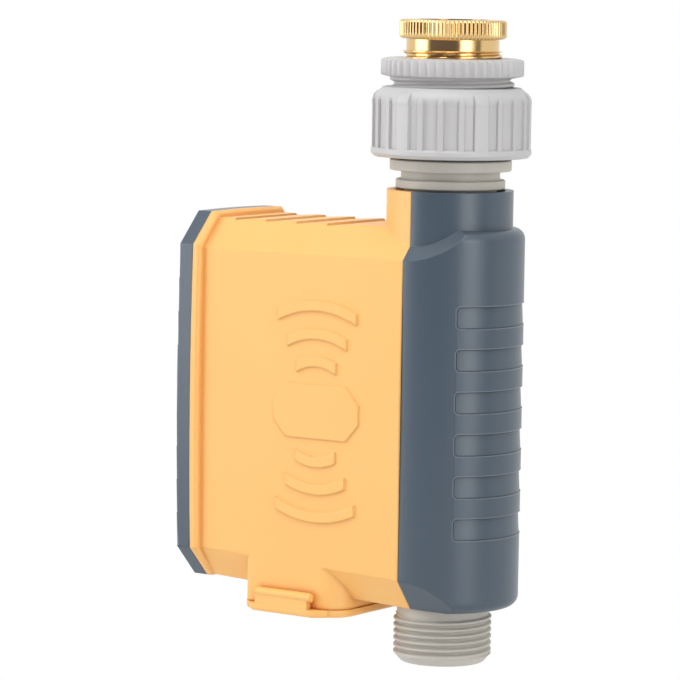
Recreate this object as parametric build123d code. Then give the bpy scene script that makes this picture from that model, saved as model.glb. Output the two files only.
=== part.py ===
from build123d import *
import os
from math import asin, cos, degrees, radians, sin, sqrt

# A battery water timer that hangs from a garden tap by a swivel nut.
# The origin is the middle of the tap adapter's mouth and everything hangs below it.
# Z points up along the water pipe, and the front panel faces -Y.
# All sizes are in millimetres.

# Fits between pieces
RUN_GAP = 0.08
SEAT_GAP = 0.1
LOOSE_GAP = 0.3
OVERRUN = 1.0

# Screw threads, as the plain cylinders that they are cut on
TAP_SOCKET_R = 9.32
HOSE_THREAD_R = 13.22
UNION_THREAD_R = 16.62

# Tap adapter, turned from brass
ADAPTER_RIM_R = 14.25
ADAPTER_RIM_H = 5.1
ADAPTER_NECK_R = 12.4
ADAPTER_NECK_H = 3.2
ADAPTER_THREAD_SHOWN = 1.9
ADAPTER_THREAD_SUNK = 8.8
ADAPTER_SOCKET_DEPTH = 11.0
ADAPTER_RECESS_R = 9.9
ADAPTER_RECESS_H = 2.1
ADAPTER_BORE_R = 7.0
ADAPTER_EDGE = 0.5

# Flat rubber washers in the two sockets
WASHER_H = 2.0
WASHER_BORE_R = 7.5

# Thread reducer with its scalloped ring
REDUCER_RING_R = 19.1
REDUCER_RING_H = 5.0
REDUCER_SCALLOPS = 48
REDUCER_SCALLOP_R = 1.3
REDUCER_EDGE = 0.5
REDUCER_THREAD_SHOWN = 2.7
REDUCER_THREAD_SUNK = 7.8
REDUCER_BORE_R = 8.5

# Swivel nut with narrow and wide ribs
NUT_H = 18.5
NUT_ROOT_R = 20.6
NUT_RIB_STANDS = 0.65
NUT_TOP_R = 18.4
NUT_LIP_R = 19.4
NUT_LIP_H = 0.9
NUT_SHOULDER_H = 4.6
NUT_RIM_R = 21.45
NUT_RIM_H = 2.5
NUT_RIM_EDGE = 0.9
NUT_FLOOR_H = 3.4
NUT_RIBS = 24
NUT_RIBS_PER_WIDE = 4
NUT_RIB_W = 1.65
NUT_WIDE_RIB_W = 4.1
NUT_RIB_DROP = 2.5
NUT_WIDE_RIB_DROP = 1.1
NUT_TURN_DEG = -4.5
NUT_RIB_ROUND = 0.8
NUT_GAP = 0.7

# Ring that holds the nut on the inlet spigot, and the filter above it
CLIP_H = 1.4
CLIP_GROOVE_DEPTH = 1.15
CLIP_STANDS = 2.3
CLIP_MOUTH_W = 8.0
FILTER_RIM_H = 1.8
FILTER_RIM_R = 14.8
FILTER_CONE_H = 11.0
FILTER_TIP_R = 2.6
FILTER_WALL = 0.5

# Valve body with the inlet spigot and its two collars
SPIGOT_R = 13.25
SPIGOT_BORE_R = 6.6
UPPER_COLLAR_R = 16.3
UPPER_COLLAR_H = 2.9
COLLAR_GROOVE_H = 2.4
LOWER_COLLAR_R = 14.65
LOWER_COLLAR_H = 2.4
COLLAR_EDGE = 0.25
PIPE_R = 12.4
CHAMBER_R = 10.4
BARREL_R = 13.6
BARREL_H = 27.0
CENTRING_RIB_H = 2.0

# Ball valve
BALL_R = 10.0
BALL_BORE_R = 6.0
SEAT_STANDS = 3.4
SLOT_W = 3.0
SLOT_DEPTH = 2.6
STEM_R = 3.5
STEM_COLLAR_R = 4.8
STEM_COLLAR_H = 1.0
STEM_O_RING_SECTION = 0.9
STEM_O_RING_SHARES = (0.25, 0.7)
STEM_BOSS_R = 6.6
STEM_BOSS_REACH = 18.6

# Outlet fitting with the hose thread
OUTLET_SPIGOT_L = 17.0
OUTLET_BORE_R = 6.6
OUTLET_MOUTH_R = 9.6
OUTLET_MOUTH_L = 13.0
OUTLET_NOSE_CUT = 1.9
OUTLET_NOSE_L = 3.0
OUTLET_THREAD_L = 15.4
OUTLET_FLANGE_R = 16.0
OUTLET_FLANGE_H = 2.0
OUTLET_FLANGE_LIFT = 0.6
OUTLET_LEAD_L = 1.2
O_RING_SECTION = 1.6

# Housing: the neck, the round back and the tapering box in front of it
WALL = 2.0
NECK_R = 16.95
NECK_H = 9.9
COLLAR_GAP = 0.4
BACK_R = 20.25
PART_LINE_Y = -1.2
BOX_FRONT_HALF_W = 21.5
BOX_FRONT_DROP = 0.2
BOX_FRONT_RISE = 2.7
TOP_CUT_W = 7.4
TOP_CUT_H = 8.1
BOTTOM_CUT_W = 6.4
BOTTOM_CUT_H = 8.3
BACK_EDGE = 3.0
BOX_BULGE = 0.5

# Louvred steps across the top of the box
STEP_COUNT = 4
STEP_PITCH = 10.1
STEP_FIRST_Y = -60.6
STEP_DEPTH = 0.7

# Finger grips round the back
GRIP_COUNT = 6
GRIP_FIRST_DROP = 19.9
GRIP_PITCH = 11.25
GRIP_H = 5.7
GRIP_DEPTH = 0.45
GRIP_FOOT_DEPTH = 0.15
GRIP_CORNER = 1.1
GRIP_LAND_STANDS = 0.03
GRIP_FROM_DEG = 40.0
GRIP_TO_DEG = 140.0

# Raised signal waves on both sides of the box
WAVE_Y = -27.8
WAVE_DROP = 105.4
WAVE_RADII = (30.0, 22.4, 15.0)
WAVE_HALF_CHORDS = (12.7, 9.6, 6.4)
WAVE_BAND = 2.8
WAVE_STANDS = 0.45
PAD_HALF_W = 13.8
PAD_HALF_H = 7.3
PAD_CUT_W = 4.1
PAD_CUT_H = 4.7
PAD_CORNER = 1.2

# Front flange and front panel
FRONT_L = 72.9
PANEL_T = 4.7
PANEL_SKIN = 2.2
FLANGE_T = 2.4
FLANGE_EDGE = 0.7
PANEL_EDGE = 0.5
PANEL_HALF_W = 23.3
PANEL_BULGE = 0.8
PANEL_CROWN = 0.2
PANEL_RISE = 1.3
PANEL_FOOT = 0.4
PANEL_CUT_W = 8.1
PANEL_TOP_CUT_H = 8.6
PANEL_BOTTOM_CUT_H = 8.5
PANEL_TONGUE_L = 2.0
GASKET_W = 1.2
GASKET_H = 1.0

# Push button, its switch and the light guide
BUTTON_R = 7.8
BUTTON_DROP = 96.0
BUTTON_RIM = 1.4
BUTTON_RIM_T = 1.0
BUTTON_DISH_R = 11.5
BUTTON_DISH_DEPTH = 1.0
BUTTON_STEM_R = 2.2
BUTTON_TRAVEL = 0.6
SWITCH_SIDE = 6.2
SWITCH_H = 3.4
PLUNGER_R = 1.7
PLUNGER_STANDS = 1.6
LENS_R = 2.0
LENS_RISE = 19.0
LENS_HEAD = 0.8

# Circuit board and what stands on it
BOARD_W = 33.0
BOARD_H = 76.0
BOARD_T = 1.6
BOARD_BACK = 60.6
BOARD_CUT = 4.0
RADIO_W = 16.0
RADIO_H = 24.0
RADIO_T = 3.0
RADIO_CAN_MARGIN = 1.2
CHIP_SIDE = 7.0
CHIP_T = 1.2

# Screws
SCREW_R = 1.3
SCREW_L = 8.0
SCREW_HEAD_R = 2.5
SCREW_HEAD_H = 1.6
SCREW_SLOT_R = 0.9
SCREW_SLOT_DEPTH = 0.8
BOSS_R = 2.8
BOARD_BOSS_L = 9.0
SHELL_BOSS_X = 15.7
SHELL_BOSS_LUG = 3.0
SHELL_SCREW_DROPS = (67.4, 112.0, 142.0)

# Gear drive between the motor and the valve stem
TOOTH_MODULE = 0.8
TOOTH_SHARES = ((-1.2, -1.5), (0.0, -1.0), (0.9, -0.5), (0.9, 0.5), (0.0, 1.0), (-1.2, 1.5))
STEM_GEAR_TEETH = 36
PINION_TEETH = 12
GEAR_T = 3.6
PINION_EXTRA_T = 0.6
GEAR_BACKLASH = 0.12
GEAR_HUB_R = 4.4
SQUARE_W = 4.4
MOTOR_W = 12.0
MOTOR_H = 10.0
MOTOR_L = 15.0
GEARHEAD_L = 9.0
MOTOR_SHAFT_R = 1.5
MOTOR_NOSE_R = 2.5
MOTOR_NOSE_L = 0.8
BRACKET_T = 2.0
BRACKET_HALF_W = 16.8
BRACKET_NECK_HALF_W = 9.2
BRACKET_TOP_MARGIN = 6.2
DRIVE_HEADROOM = 1.5
BRACKET_POST_R = 3.0
BRACKET_POST_X = 14.0
BRACKET_POST_RISE = 12.5
BRACKET_POST_DROP = 14.0
CAM_R = 7.4
CAM_T = 2.0
CAM_NOTCH = 1.2
LIMIT_H = 12.8
LIMIT_W = 6.0
LIMIT_T = 5.8
LIMIT_GAP = 0.7
LIMIT_BUTTON_R = 0.8
LIMIT_BUTTON_STANDS = 0.5

# Battery bay with four AA cells, under the box
CELL_R = 7.05
CELL_L = 49.2
CELL_NUB_R = 2.7
CELL_NUB_H = 1.0
CELL_GAP = 0.1
CELL_X = 10.4
BAY_FRONT_Y = -50.9
BAY_BACK_Y = -19.9
BAY_WALL = 1.2
BAY_SIDE_WALL = 2.6
BAY_RISE_OVER_CELLS = 1.2
BAY_ROOF_T = 1.6
BAY_HEADROOM = 3.8
BAY_STANDS = 2.0
BAY_BACK_CORNER = 7.0
BAY_FRONT_CORNER = 2.0
CONTACT_T = 0.4
CONTACT_HALF_W = 4.2
CONTACT_OVERHANG = 4.2

# Battery cover with its snap tongue and hinge
COVER_T = 2.1
COVER_STANDS = 0.35
COVER_EDGE = 0.9
COVER_FOOT_GAP = 0.1
TONGUE_FROM_Y = -45.8
TONGUE_TO_Y = -28.4
TONGUE_T = 1.9
TONGUE_GAP = 0.25
TONGUE_H = 4.4
TONGUE_LIP_R = 1.15
TONGUE_LIP_STANDS = 0.25
TONGUE_LIP_EXTRA = 1.0
TONGUE_SWELL_EXTRA = 1.6
TONGUE_TAPER = 3.4
TONGUE_ROUND = 3.0
HINGE_PIN_R = 0.9
HINGE_EYE_R = 1.75
HINGE_OUT = 1.6
HINGE_EYE_SHARES = (0.14, 0.32, 0.68, 0.86)
HINGE_RISE = 0.9
COVER_GASKET_W = 0.9
COVER_GASKET_H = 0.8
CONTACT_SPRING_H = 0.9

# Heights worked out from the sizes above
ADAPTER_NECK_Z = -ADAPTER_RIM_H
ADAPTER_THREAD_Z = ADAPTER_NECK_Z - ADAPTER_NECK_H
REDUCER_TOP_Z = ADAPTER_THREAD_Z - ADAPTER_THREAD_SHOWN
ADAPTER_END_Z = REDUCER_TOP_Z - ADAPTER_THREAD_SUNK
RING_FOOT_Z = REDUCER_TOP_Z - REDUCER_RING_H
NUT_TOP_Z = RING_FOOT_Z - REDUCER_THREAD_SHOWN
REDUCER_END_Z = NUT_TOP_Z - REDUCER_THREAD_SUNK
REDUCER_FLOOR_Z = ADAPTER_END_Z - SEAT_GAP - WASHER_H - SEAT_GAP
NUT_FOOT_Z = NUT_TOP_Z - NUT_H
NUT_FLOOR_Z = NUT_FOOT_Z + NUT_FLOOR_H
SPIGOT_TOP_Z = REDUCER_END_Z - SEAT_GAP - FILTER_RIM_H
CLIP_FOOT_Z = NUT_FLOOR_Z + SEAT_GAP
UPPER_COLLAR_Z = NUT_FOOT_Z - NUT_GAP
GROOVE_Z = UPPER_COLLAR_Z - UPPER_COLLAR_H
LOWER_COLLAR_Z = GROOVE_Z - COLLAR_GROOVE_H
COLLAR_FOOT_Z = LOWER_COLLAR_Z - LOWER_COLLAR_H
NECK_TOP_Z = COLLAR_FOOT_Z - COLLAR_GAP
BODY_TOP_Z = NECK_TOP_Z - NECK_H
TOP_CUT = (TOP_CUT_W, TOP_CUT_H)
BOTTOM_CUT = (BOTTOM_CUT_W, BOTTOM_CUT_H)
GEAR_R = TOOTH_MODULE * STEM_GEAR_TEETH / 2
PINION_PITCH_R = TOOTH_MODULE * PINION_TEETH / 2
MOTOR_Z = BODY_TOP_Z - WALL - DRIVE_HEADROOM - BRACKET_TOP_MARGIN
BALL_Z = MOTOR_Z - GEAR_R - PINION_PITCH_R
SEAT_OUT = BALL_R * cos(asin(BALL_BORE_R / BALL_R)) + SEAT_STANDS
VALVE_SPLIT_Z = BALL_Z - SEAT_OUT - OUTLET_SPIGOT_L
FRONT_Y = -FRONT_L
SEAM_Y = FRONT_Y + PANEL_T
BOX_FRONT_Y = SEAM_Y + FLANGE_T
BRACKET_FOOT_Z = BALL_Z - BRACKET_POST_DROP - BRACKET_POST_R
ROOF_TOP_Z = BRACKET_FOOT_Z - BAY_HEADROOM
ROOF_FOOT_Z = ROOF_TOP_Z - BAY_ROOF_T
CELL_TOP_Z = ROOF_FOOT_Z - BAY_RISE_OVER_CELLS - CELL_NUB_H
CELL_FOOT_Z = CELL_TOP_Z - CELL_L
COVER_TOP_Z = CELL_FOOT_Z - LOOSE_GAP - CONTACT_SPRING_H
COVER_FOOT_Z = COVER_TOP_Z - COVER_T
BAY_FOOT_Z = COVER_TOP_Z + COVER_FOOT_GAP
BODY_FOOT_Z = BAY_FOOT_Z + BAY_STANDS
OUTLET_END_Z = BODY_FOOT_Z - OUTLET_THREAD_L
PANEL_TOP_Z = BODY_TOP_Z + PANEL_RISE
PANEL_FOOT_Z = BODY_FOOT_Z + BOX_FRONT_RISE - PANEL_FOOT
BAY_MID_Y = (BAY_FRONT_Y + BAY_BACK_Y) / 2
BOARD_FRONT_Y = -BOARD_BACK - BOARD_T
BUTTON_Z = -BUTTON_DROP
LENS_Z = BUTTON_Z + LENS_RISE
GEAR_BACK_Y = -STEM_BOSS_REACH - STEM_COLLAR_H - LOOSE_GAP
GEAR_FRONT_Y = GEAR_BACK_Y - GEAR_T
BRACKET_BACK_Y = GEAR_FRONT_Y - LOOSE_GAP
BRACKET_FRONT_Y = BRACKET_BACK_Y - BRACKET_T
CAM_BACK_Y = BRACKET_FRONT_Y - LOOSE_GAP
CAM_FRONT_Y = CAM_BACK_Y - CAM_T
HINGE_Z = BAY_FOOT_Z + HINGE_RISE


def box_share(y):
    """How far along the box a place lies: 0 at the parting line, 1 behind the flange."""
    return (PART_LINE_Y - y) / (PART_LINE_Y - BOX_FRONT_Y)


def half_width(y):
    """Half the width of the box outside, between its creases."""
    return BACK_R + (BOX_FRONT_HALF_W - BACK_R) * box_share(y)


def disc(radius, top, bottom):
    """Solid cylinder about the Z axis between two heights."""
    return Pos(0, 0, (top + bottom) / 2) * Cylinder(radius, top - bottom)


def rod(radius, x, z, front, back):
    """Solid cylinder along Y between two depths."""
    return Pos(x, (front + back) / 2, z) * Rot(90, 0, 0) * Cylinder(radius, back - front)


def block(low, high):
    """Box between two corners."""
    centre = [(a + b) / 2 for a, b in zip(low, high)]
    size = [b - a for a, b in zip(low, high)]
    return Pos(*centre) * Box(*size)


def turned(points):
    """Solid of revolution about Z, from an outline of radius and height."""
    return revolve(Plane.XZ * make_face(Polyline(*points, close=True)), Axis.Z)


def octagon(y, half_w, top, bottom, top_cut, bottom_cut, inset=0.0, bulge=0.0, crown=0.0):
    """Tall octagon seen from the front, its sides and top bulging softly unless it is inset."""
    half_w, top, bottom = half_w - inset, top - inset, bottom + inset
    (top_cut_w, top_cut_h), (bottom_cut_w, bottom_cut_h) = top_cut, bottom_cut
    right = [(half_w - top_cut_w, top), (half_w, top - top_cut_h),
             (half_w, bottom + bottom_cut_h), (half_w - bottom_cut_w, bottom)]
    left = [(-x, z) for x, z in right]
    middle = (right[1][1] + right[2][1]) / 2
    edges = [
        Line(right[0], right[1]), Line(right[2], right[3]), Line(right[3], left[3]),
        Line(left[3], left[2]), Line(left[1], left[0]),
        bowed(right[1], right[2], (half_w + bulge, middle), bulge),
        bowed(left[2], left[1], (-half_w - bulge, middle), bulge),
        bowed(left[0], right[0], (0, top + crown), crown),
    ]
    return Plane.XZ.offset(-y) * make_face(Curve() + edges)


def bowed(start, end, middle, rise):
    """Arc through a middle point, or a straight line if it has no rise."""
    return ThreePointArc(start, middle, end) if rise else Line(start, end)


def box_outline(y, inset=0.0):
    """The tapering box cut at one depth."""
    share = box_share(y)
    top = BODY_TOP_Z - BOX_FRONT_DROP * share
    bottom = BODY_FOOT_Z + BOX_FRONT_RISE * share
    bulge = 0 if inset else BOX_BULGE
    return octagon(y, half_width(y), top, bottom, TOP_CUT, BOTTOM_CUT, inset, bulge)


def panel_outline(y, inset=0.0):
    """The front panel and its flange cut at one depth."""
    bulge = 0 if inset else PANEL_BULGE
    crown = 0 if inset else PANEL_CROWN
    return octagon(y, PANEL_HALF_W, PANEL_TOP_Z, PANEL_FOOT_Z, (PANEL_CUT_W, PANEL_TOP_CUT_H),
                   (PANEL_CUT_W, PANEL_BOTTOM_CUT_H), inset, bulge, crown)


def rear_half(solid):
    """What lies behind the parting line."""
    reach = BACK_R + OVERRUN
    return solid & block((-reach, PART_LINE_Y, OUTLET_END_Z), (reach, reach, 0))


def front_half(solid):
    """What lies in front of the parting line."""
    reach = PANEL_HALF_W + OVERRUN
    return solid & block((-reach, FRONT_Y, OUTLET_END_Z), (reach, PART_LINE_Y, 0))


def brass_tap_adapter():
    """Brass bush: knurled rim, smooth neck and male hose thread, with the tap socket in its mouth."""
    rim = ADAPTER_RIM_R - ADAPTER_EDGE
    wall_foot = -ADAPTER_SOCKET_DEPTH + ADAPTER_RECESS_H
    return turned([
        (TAP_SOCKET_R, 0), (rim, 0), (ADAPTER_RIM_R, -ADAPTER_EDGE),
        (ADAPTER_RIM_R, ADAPTER_NECK_Z + ADAPTER_EDGE), (rim, ADAPTER_NECK_Z),
        (ADAPTER_NECK_R, ADAPTER_NECK_Z), (ADAPTER_NECK_R, ADAPTER_THREAD_Z),
        (HOSE_THREAD_R, ADAPTER_THREAD_Z), (HOSE_THREAD_R, ADAPTER_END_Z + ADAPTER_EDGE),
        (HOSE_THREAD_R - ADAPTER_EDGE, ADAPTER_END_Z), (ADAPTER_BORE_R, ADAPTER_END_Z),
        (ADAPTER_BORE_R, -ADAPTER_SOCKET_DEPTH), (ADAPTER_RECESS_R, -ADAPTER_SOCKET_DEPTH),
        (ADAPTER_RECESS_R, wall_foot), (TAP_SOCKET_R, wall_foot),
    ])


def tap_washer():
    """Rubber washer snapped into the recess at the bottom of the tap socket."""
    foot = -ADAPTER_SOCKET_DEPTH + SEAT_GAP / 2
    washer = disc(ADAPTER_RECESS_R - RUN_GAP, foot + WASHER_H, foot)
    return washer - disc(WASHER_BORE_R, foot + WASHER_H, foot)


def thread_reducer():
    """Plastic reducer: scalloped ring, male union thread and a female hose thread."""
    core_r = REDUCER_RING_R - REDUCER_SCALLOP_R
    outline = Circle(core_r + REDUCER_SCALLOP_R / 2)
    outline += PolarLocations(core_r, REDUCER_SCALLOPS) * Circle(REDUCER_SCALLOP_R)
    ring = Pos(0, 0, RING_FOOT_Z) * extrude(outline, REDUCER_RING_H)
    edge_r = REDUCER_RING_R - REDUCER_EDGE
    ring &= turned([
        (0, REDUCER_TOP_Z), (edge_r, REDUCER_TOP_Z), (REDUCER_RING_R, REDUCER_TOP_Z - REDUCER_EDGE),
        (REDUCER_RING_R, RING_FOOT_Z + REDUCER_EDGE), (edge_r, RING_FOOT_Z), (0, RING_FOOT_Z),
    ])
    solid = ring + disc(UNION_THREAD_R, RING_FOOT_Z, REDUCER_END_Z)
    solid -= disc(HOSE_THREAD_R + RUN_GAP, REDUCER_TOP_Z, REDUCER_FLOOR_Z)
    return solid - disc(REDUCER_BORE_R, REDUCER_FLOOR_Z, REDUCER_END_Z)


def reducer_washer():
    """Rubber washer at the bottom of the reducer's socket."""
    foot = REDUCER_FLOOR_Z + SEAT_GAP
    washer = disc(HOSE_THREAD_R, foot + WASHER_H, foot)
    return washer - disc(WASHER_BORE_R, foot + WASHER_H, foot)


def nut_envelope(radius):
    """Turned outside of the nut: a lip at the top, a round shoulder and a straight side."""
    lip_z = NUT_TOP_Z - NUT_LIP_H
    side_z = NUT_TOP_Z - NUT_SHOULDER_H
    middle_r = NUT_LIP_R + (radius - NUT_LIP_R) * sqrt(2) / 2
    middle_z = side_z + (lip_z - side_z) * sqrt(2) / 2
    edges = [
        Line((0, NUT_TOP_Z), (NUT_TOP_R, NUT_TOP_Z)),
        Line((NUT_TOP_R, NUT_TOP_Z), (NUT_LIP_R, lip_z)),
        ThreePointArc((NUT_LIP_R, lip_z), (middle_r, middle_z), (radius, side_z)),
        Line((radius, side_z), (radius, NUT_FOOT_Z + NUT_RIM_H / 2)),
        Line((radius, NUT_FOOT_Z + NUT_RIM_H / 2), (0, NUT_FOOT_Z + NUT_RIM_H / 2)),
        Line((0, NUT_FOOT_Z + NUT_RIM_H / 2), (0, NUT_TOP_Z)),
    ]
    return revolve(Plane.XZ * make_face(Curve() + edges), Axis.Z)


def nut_ribs():
    """Grip ribs round the nut, every fourth one wide."""
    ribs = []
    for i in range(NUT_RIBS):
        wide = i % NUT_RIBS_PER_WIDE == 0
        width = NUT_WIDE_RIB_W if wide else NUT_RIB_W
        top = NUT_TOP_Z - (NUT_WIDE_RIB_DROP if wide else NUT_RIB_DROP)
        rib = block((NUT_LIP_R - NUT_LIP_H, -width / 2, NUT_FOOT_Z + NUT_RIM_H / 2),
                    (NUT_RIM_R, width / 2, top))
        rib = fillet(rib.edges().filter_by(Axis.X).group_by(Axis.Z)[-1], NUT_RIB_ROUND)
        ribs.append(Rot(0, 0, NUT_TURN_DEG + i * 360 / NUT_RIBS) * rib)
    return Compound(ribs) & nut_envelope(NUT_ROOT_R + NUT_RIB_STANDS)


def swivel_nut():
    """Union nut that turns freely on the inlet spigot."""
    rim_top = NUT_FOOT_Z + NUT_RIM_H
    rim = turned([
        (0, rim_top), (NUT_RIM_R - NUT_RIM_EDGE / 2, rim_top), (NUT_RIM_R, rim_top - NUT_RIM_EDGE / 2),
        (NUT_RIM_R, NUT_FOOT_Z + NUT_RIM_EDGE), (NUT_RIM_R - NUT_RIM_EDGE, NUT_FOOT_Z), (0, NUT_FOOT_Z),
    ])
    solid = nut_envelope(NUT_ROOT_R) + nut_ribs() + rim
    solid -= disc(UNION_THREAD_R + RUN_GAP, NUT_TOP_Z, NUT_FLOOR_Z)
    return solid - disc(SPIGOT_R + RUN_GAP, NUT_FLOOR_Z, NUT_FOOT_Z)


def nut_clip():
    """Split ring in the spigot's groove, which stops the nut from lifting off."""
    inner = SPIGOT_R - CLIP_GROOVE_DEPTH
    top = CLIP_FOOT_Z + CLIP_H
    ring = disc(SPIGOT_R + CLIP_STANDS, top, CLIP_FOOT_Z) - disc(inner, top, CLIP_FOOT_Z)
    mouth = block((0, -CLIP_MOUTH_W / 2, CLIP_FOOT_Z), (SPIGOT_R + CLIP_STANDS, CLIP_MOUTH_W / 2, top))
    return ring - mouth


def inlet_filter():
    """Rubber-rimmed strainer cone that stands in the inlet."""
    rim_top = SPIGOT_TOP_Z + FILTER_RIM_H
    tip_z = SPIGOT_TOP_Z - FILTER_CONE_H
    mouth_r = SPIGOT_BORE_R - RUN_GAP
    return turned([
        (mouth_r - FILTER_WALL, rim_top), (FILTER_RIM_R, rim_top), (FILTER_RIM_R, SPIGOT_TOP_Z),
        (mouth_r, SPIGOT_TOP_Z), (FILTER_TIP_R, tip_z), (0, tip_z), (0, tip_z + FILTER_WALL),
        (FILTER_TIP_R - FILTER_WALL, tip_z + FILTER_WALL), (mouth_r - FILTER_WALL, SPIGOT_TOP_Z),
    ])


def valve_body():
    """Inlet spigot with its collars, the pipe through the neck and the ball chamber."""
    barrel_top = BALL_Z + BARREL_H / 2
    barrel_foot = BALL_Z - BARREL_H / 2
    clip_top = CLIP_FOOT_Z + CLIP_H
    solid = disc(SPIGOT_R, SPIGOT_TOP_Z, COLLAR_FOOT_Z)
    for radius, top, height in ((UPPER_COLLAR_R, UPPER_COLLAR_Z, UPPER_COLLAR_H),
                                (LOWER_COLLAR_R, LOWER_COLLAR_Z, LOWER_COLLAR_H)):
        solid += turned([
            (0, top), (radius - COLLAR_EDGE, top), (radius, top - COLLAR_EDGE),
            (radius, top - height + COLLAR_EDGE), (radius - COLLAR_EDGE, top - height), (0, top - height),
        ])
    solid += disc(PIPE_R, COLLAR_FOOT_Z, VALVE_SPLIT_Z)
    for top in (NECK_TOP_Z - CENTRING_RIB_H, BODY_TOP_Z + CENTRING_RIB_H):
        solid += disc(NECK_R - WALL - SEAT_GAP, top, top - CENTRING_RIB_H)
    solid += disc(BARREL_R, barrel_top, barrel_foot)
    solid += rod(STEM_BOSS_R, 0, BALL_Z, -STEM_BOSS_REACH, 0)
    for x in (-BRACKET_POST_X, BRACKET_POST_X):
        for z in bracket_post_heights():
            arm = rod(BRACKET_POST_R, x, z, -STEM_BOSS_REACH, -STEM_BOSS_REACH + BRACKET_POST_R * 2)
            solid += arm
    web_top, web_foot = bracket_post_heights()
    web_back = -STEM_BOSS_REACH + BRACKET_POST_R * 2
    solid += block((-BRACKET_POST_X, web_back - BRACKET_POST_R, web_foot - BRACKET_POST_R / 2),
                   (BRACKET_POST_X, web_back, web_top + BRACKET_POST_R / 2))
    groove_r = SPIGOT_R - CLIP_GROOVE_DEPTH
    solid -= disc(SPIGOT_R, clip_top, CLIP_FOOT_Z) - disc(groove_r, clip_top, CLIP_FOOT_Z)
    solid -= disc(SPIGOT_BORE_R, SPIGOT_TOP_Z, BALL_Z)
    solid -= disc(CHAMBER_R, BALL_Z + SEAT_OUT, VALVE_SPLIT_Z)
    solid -= rod(STEM_R + RUN_GAP, 0, BALL_Z, -STEM_BOSS_REACH, 0)
    for x in (-BRACKET_POST_X, BRACKET_POST_X):
        for z in bracket_post_heights():
            solid -= rod(SCREW_R, x, z, -STEM_BOSS_REACH, -STEM_BOSS_REACH + SCREW_L - BRACKET_T)
    return solid


def bracket_post_heights():
    """Heights of the four posts that carry the gear bracket, above and below the stem."""
    return (BALL_Z + BRACKET_POST_RISE, BALL_Z - BRACKET_POST_DROP)


def outlet_fitting():
    """Lower pipe: spigot into the ball chamber, flange over the housing floor and the hose thread."""
    spigot_top = BALL_Z - SEAT_OUT
    flange_z = BODY_FOOT_Z + WALL + OUTLET_FLANGE_LIFT
    lead_foot = BODY_FOOT_Z - OUTLET_LEAD_L
    nose_z = OUTLET_END_Z + OUTLET_NOSE_L
    spigot_r = CHAMBER_R - RUN_GAP
    groove_r = spigot_r - O_RING_SECTION
    groove_top = (spigot_top + VALVE_SPLIT_Z + O_RING_SECTION) / 2
    groove_foot = groove_top - O_RING_SECTION
    mouth_top = OUTLET_END_Z + OUTLET_MOUTH_L
    pipe = turned([
        (OUTLET_BORE_R, spigot_top), (spigot_r, spigot_top), (spigot_r, groove_top),
        (groove_r, groove_top), (groove_r, groove_foot), (spigot_r, groove_foot),
        (spigot_r, VALVE_SPLIT_Z), (PIPE_R, VALVE_SPLIT_Z), (PIPE_R, lead_foot),
        (HOSE_THREAD_R, lead_foot), (HOSE_THREAD_R, nose_z), (HOSE_THREAD_R - OUTLET_NOSE_CUT, OUTLET_END_Z),
        (OUTLET_MOUTH_R, OUTLET_END_Z), (OUTLET_MOUTH_R, mouth_top),
        (OUTLET_BORE_R, mouth_top + OUTLET_MOUTH_R - OUTLET_BORE_R),
    ])
    flats = BACK_R - WALL - BOTTOM_CUT_W - SEAT_GAP
    flange_top = flange_z + OUTLET_FLANGE_H
    flange = disc(OUTLET_FLANGE_R, flange_top, flange_z) - disc(PIPE_R, flange_top, flange_z)
    flange &= block((-flats, -OUTLET_FLANGE_R, flange_z), (flats, OUTLET_FLANGE_R, flange_top))
    return pipe + flange


def outlet_o_ring():
    """Square-section seal in the outlet spigot's groove."""
    spigot_r = CHAMBER_R - RUN_GAP
    middle = (BALL_Z - SEAT_OUT + VALVE_SPLIT_Z) / 2
    top, foot = middle + O_RING_SECTION / 2, middle - O_RING_SECTION / 2
    return disc(spigot_r, top, foot) - disc(spigot_r - O_RING_SECTION, top, foot)


def ball_seats():
    """Two plastic rings that the ball turns against, above and below it."""
    seats = []
    for top in (BALL_Z + SEAT_OUT, BALL_Z - SEAT_OUT + SEAT_STANDS):
        ring = disc(CHAMBER_R - RUN_GAP, top, top - SEAT_STANDS) - disc(BALL_BORE_R, top, top - SEAT_STANDS)
        seats.append(ring - Pos(0, 0, BALL_Z) * Sphere(BALL_R + RUN_GAP / 2))
    return Compound(seats)


def valve_ball():
    """Bored ball, shut: its bore lies across the pipe."""
    ball = Sphere(BALL_R) - Rot(0, 90, 0) * Cylinder(BALL_BORE_R, BALL_R * 2)
    slot = block((-BALL_R, -BALL_R, -SLOT_W / 2), (BALL_R, -BALL_R + SLOT_DEPTH, SLOT_W / 2))
    return Pos(0, 0, BALL_Z) * (ball - slot)


def valve_stem():
    """Stem from the ball's slot out to the gear, with two grooves for its seals."""
    collar_back = -STEM_BOSS_REACH - RUN_GAP
    tang_t = SLOT_W / 2 - RUN_GAP
    tang_w = sqrt(STEM_R ** 2 - tang_t ** 2)
    tang = block((-tang_w, -BALL_R - OVERRUN, BALL_Z - tang_t),
                 (tang_w, -BALL_R + SLOT_DEPTH, BALL_Z + tang_t))
    shaft = rod(STEM_R, 0, BALL_Z, collar_back, -BALL_R - RUN_GAP)
    collar = rod(STEM_COLLAR_R, 0, BALL_Z, collar_back - STEM_COLLAR_H, collar_back)
    half = SQUARE_W / 2
    square = block((-half, CAM_FRONT_Y, BALL_Z - half), (half, collar_back, BALL_Z + half))
    solid = tang + shaft + collar + square
    for y in stem_ring_places():
        groove = rod(STEM_R, 0, BALL_Z, y - STEM_O_RING_SECTION / 2, y + STEM_O_RING_SECTION / 2)
        solid -= groove - rod(STEM_R - STEM_O_RING_SECTION, 0, BALL_Z, y - OVERRUN, y + OVERRUN)
    return solid


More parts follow.
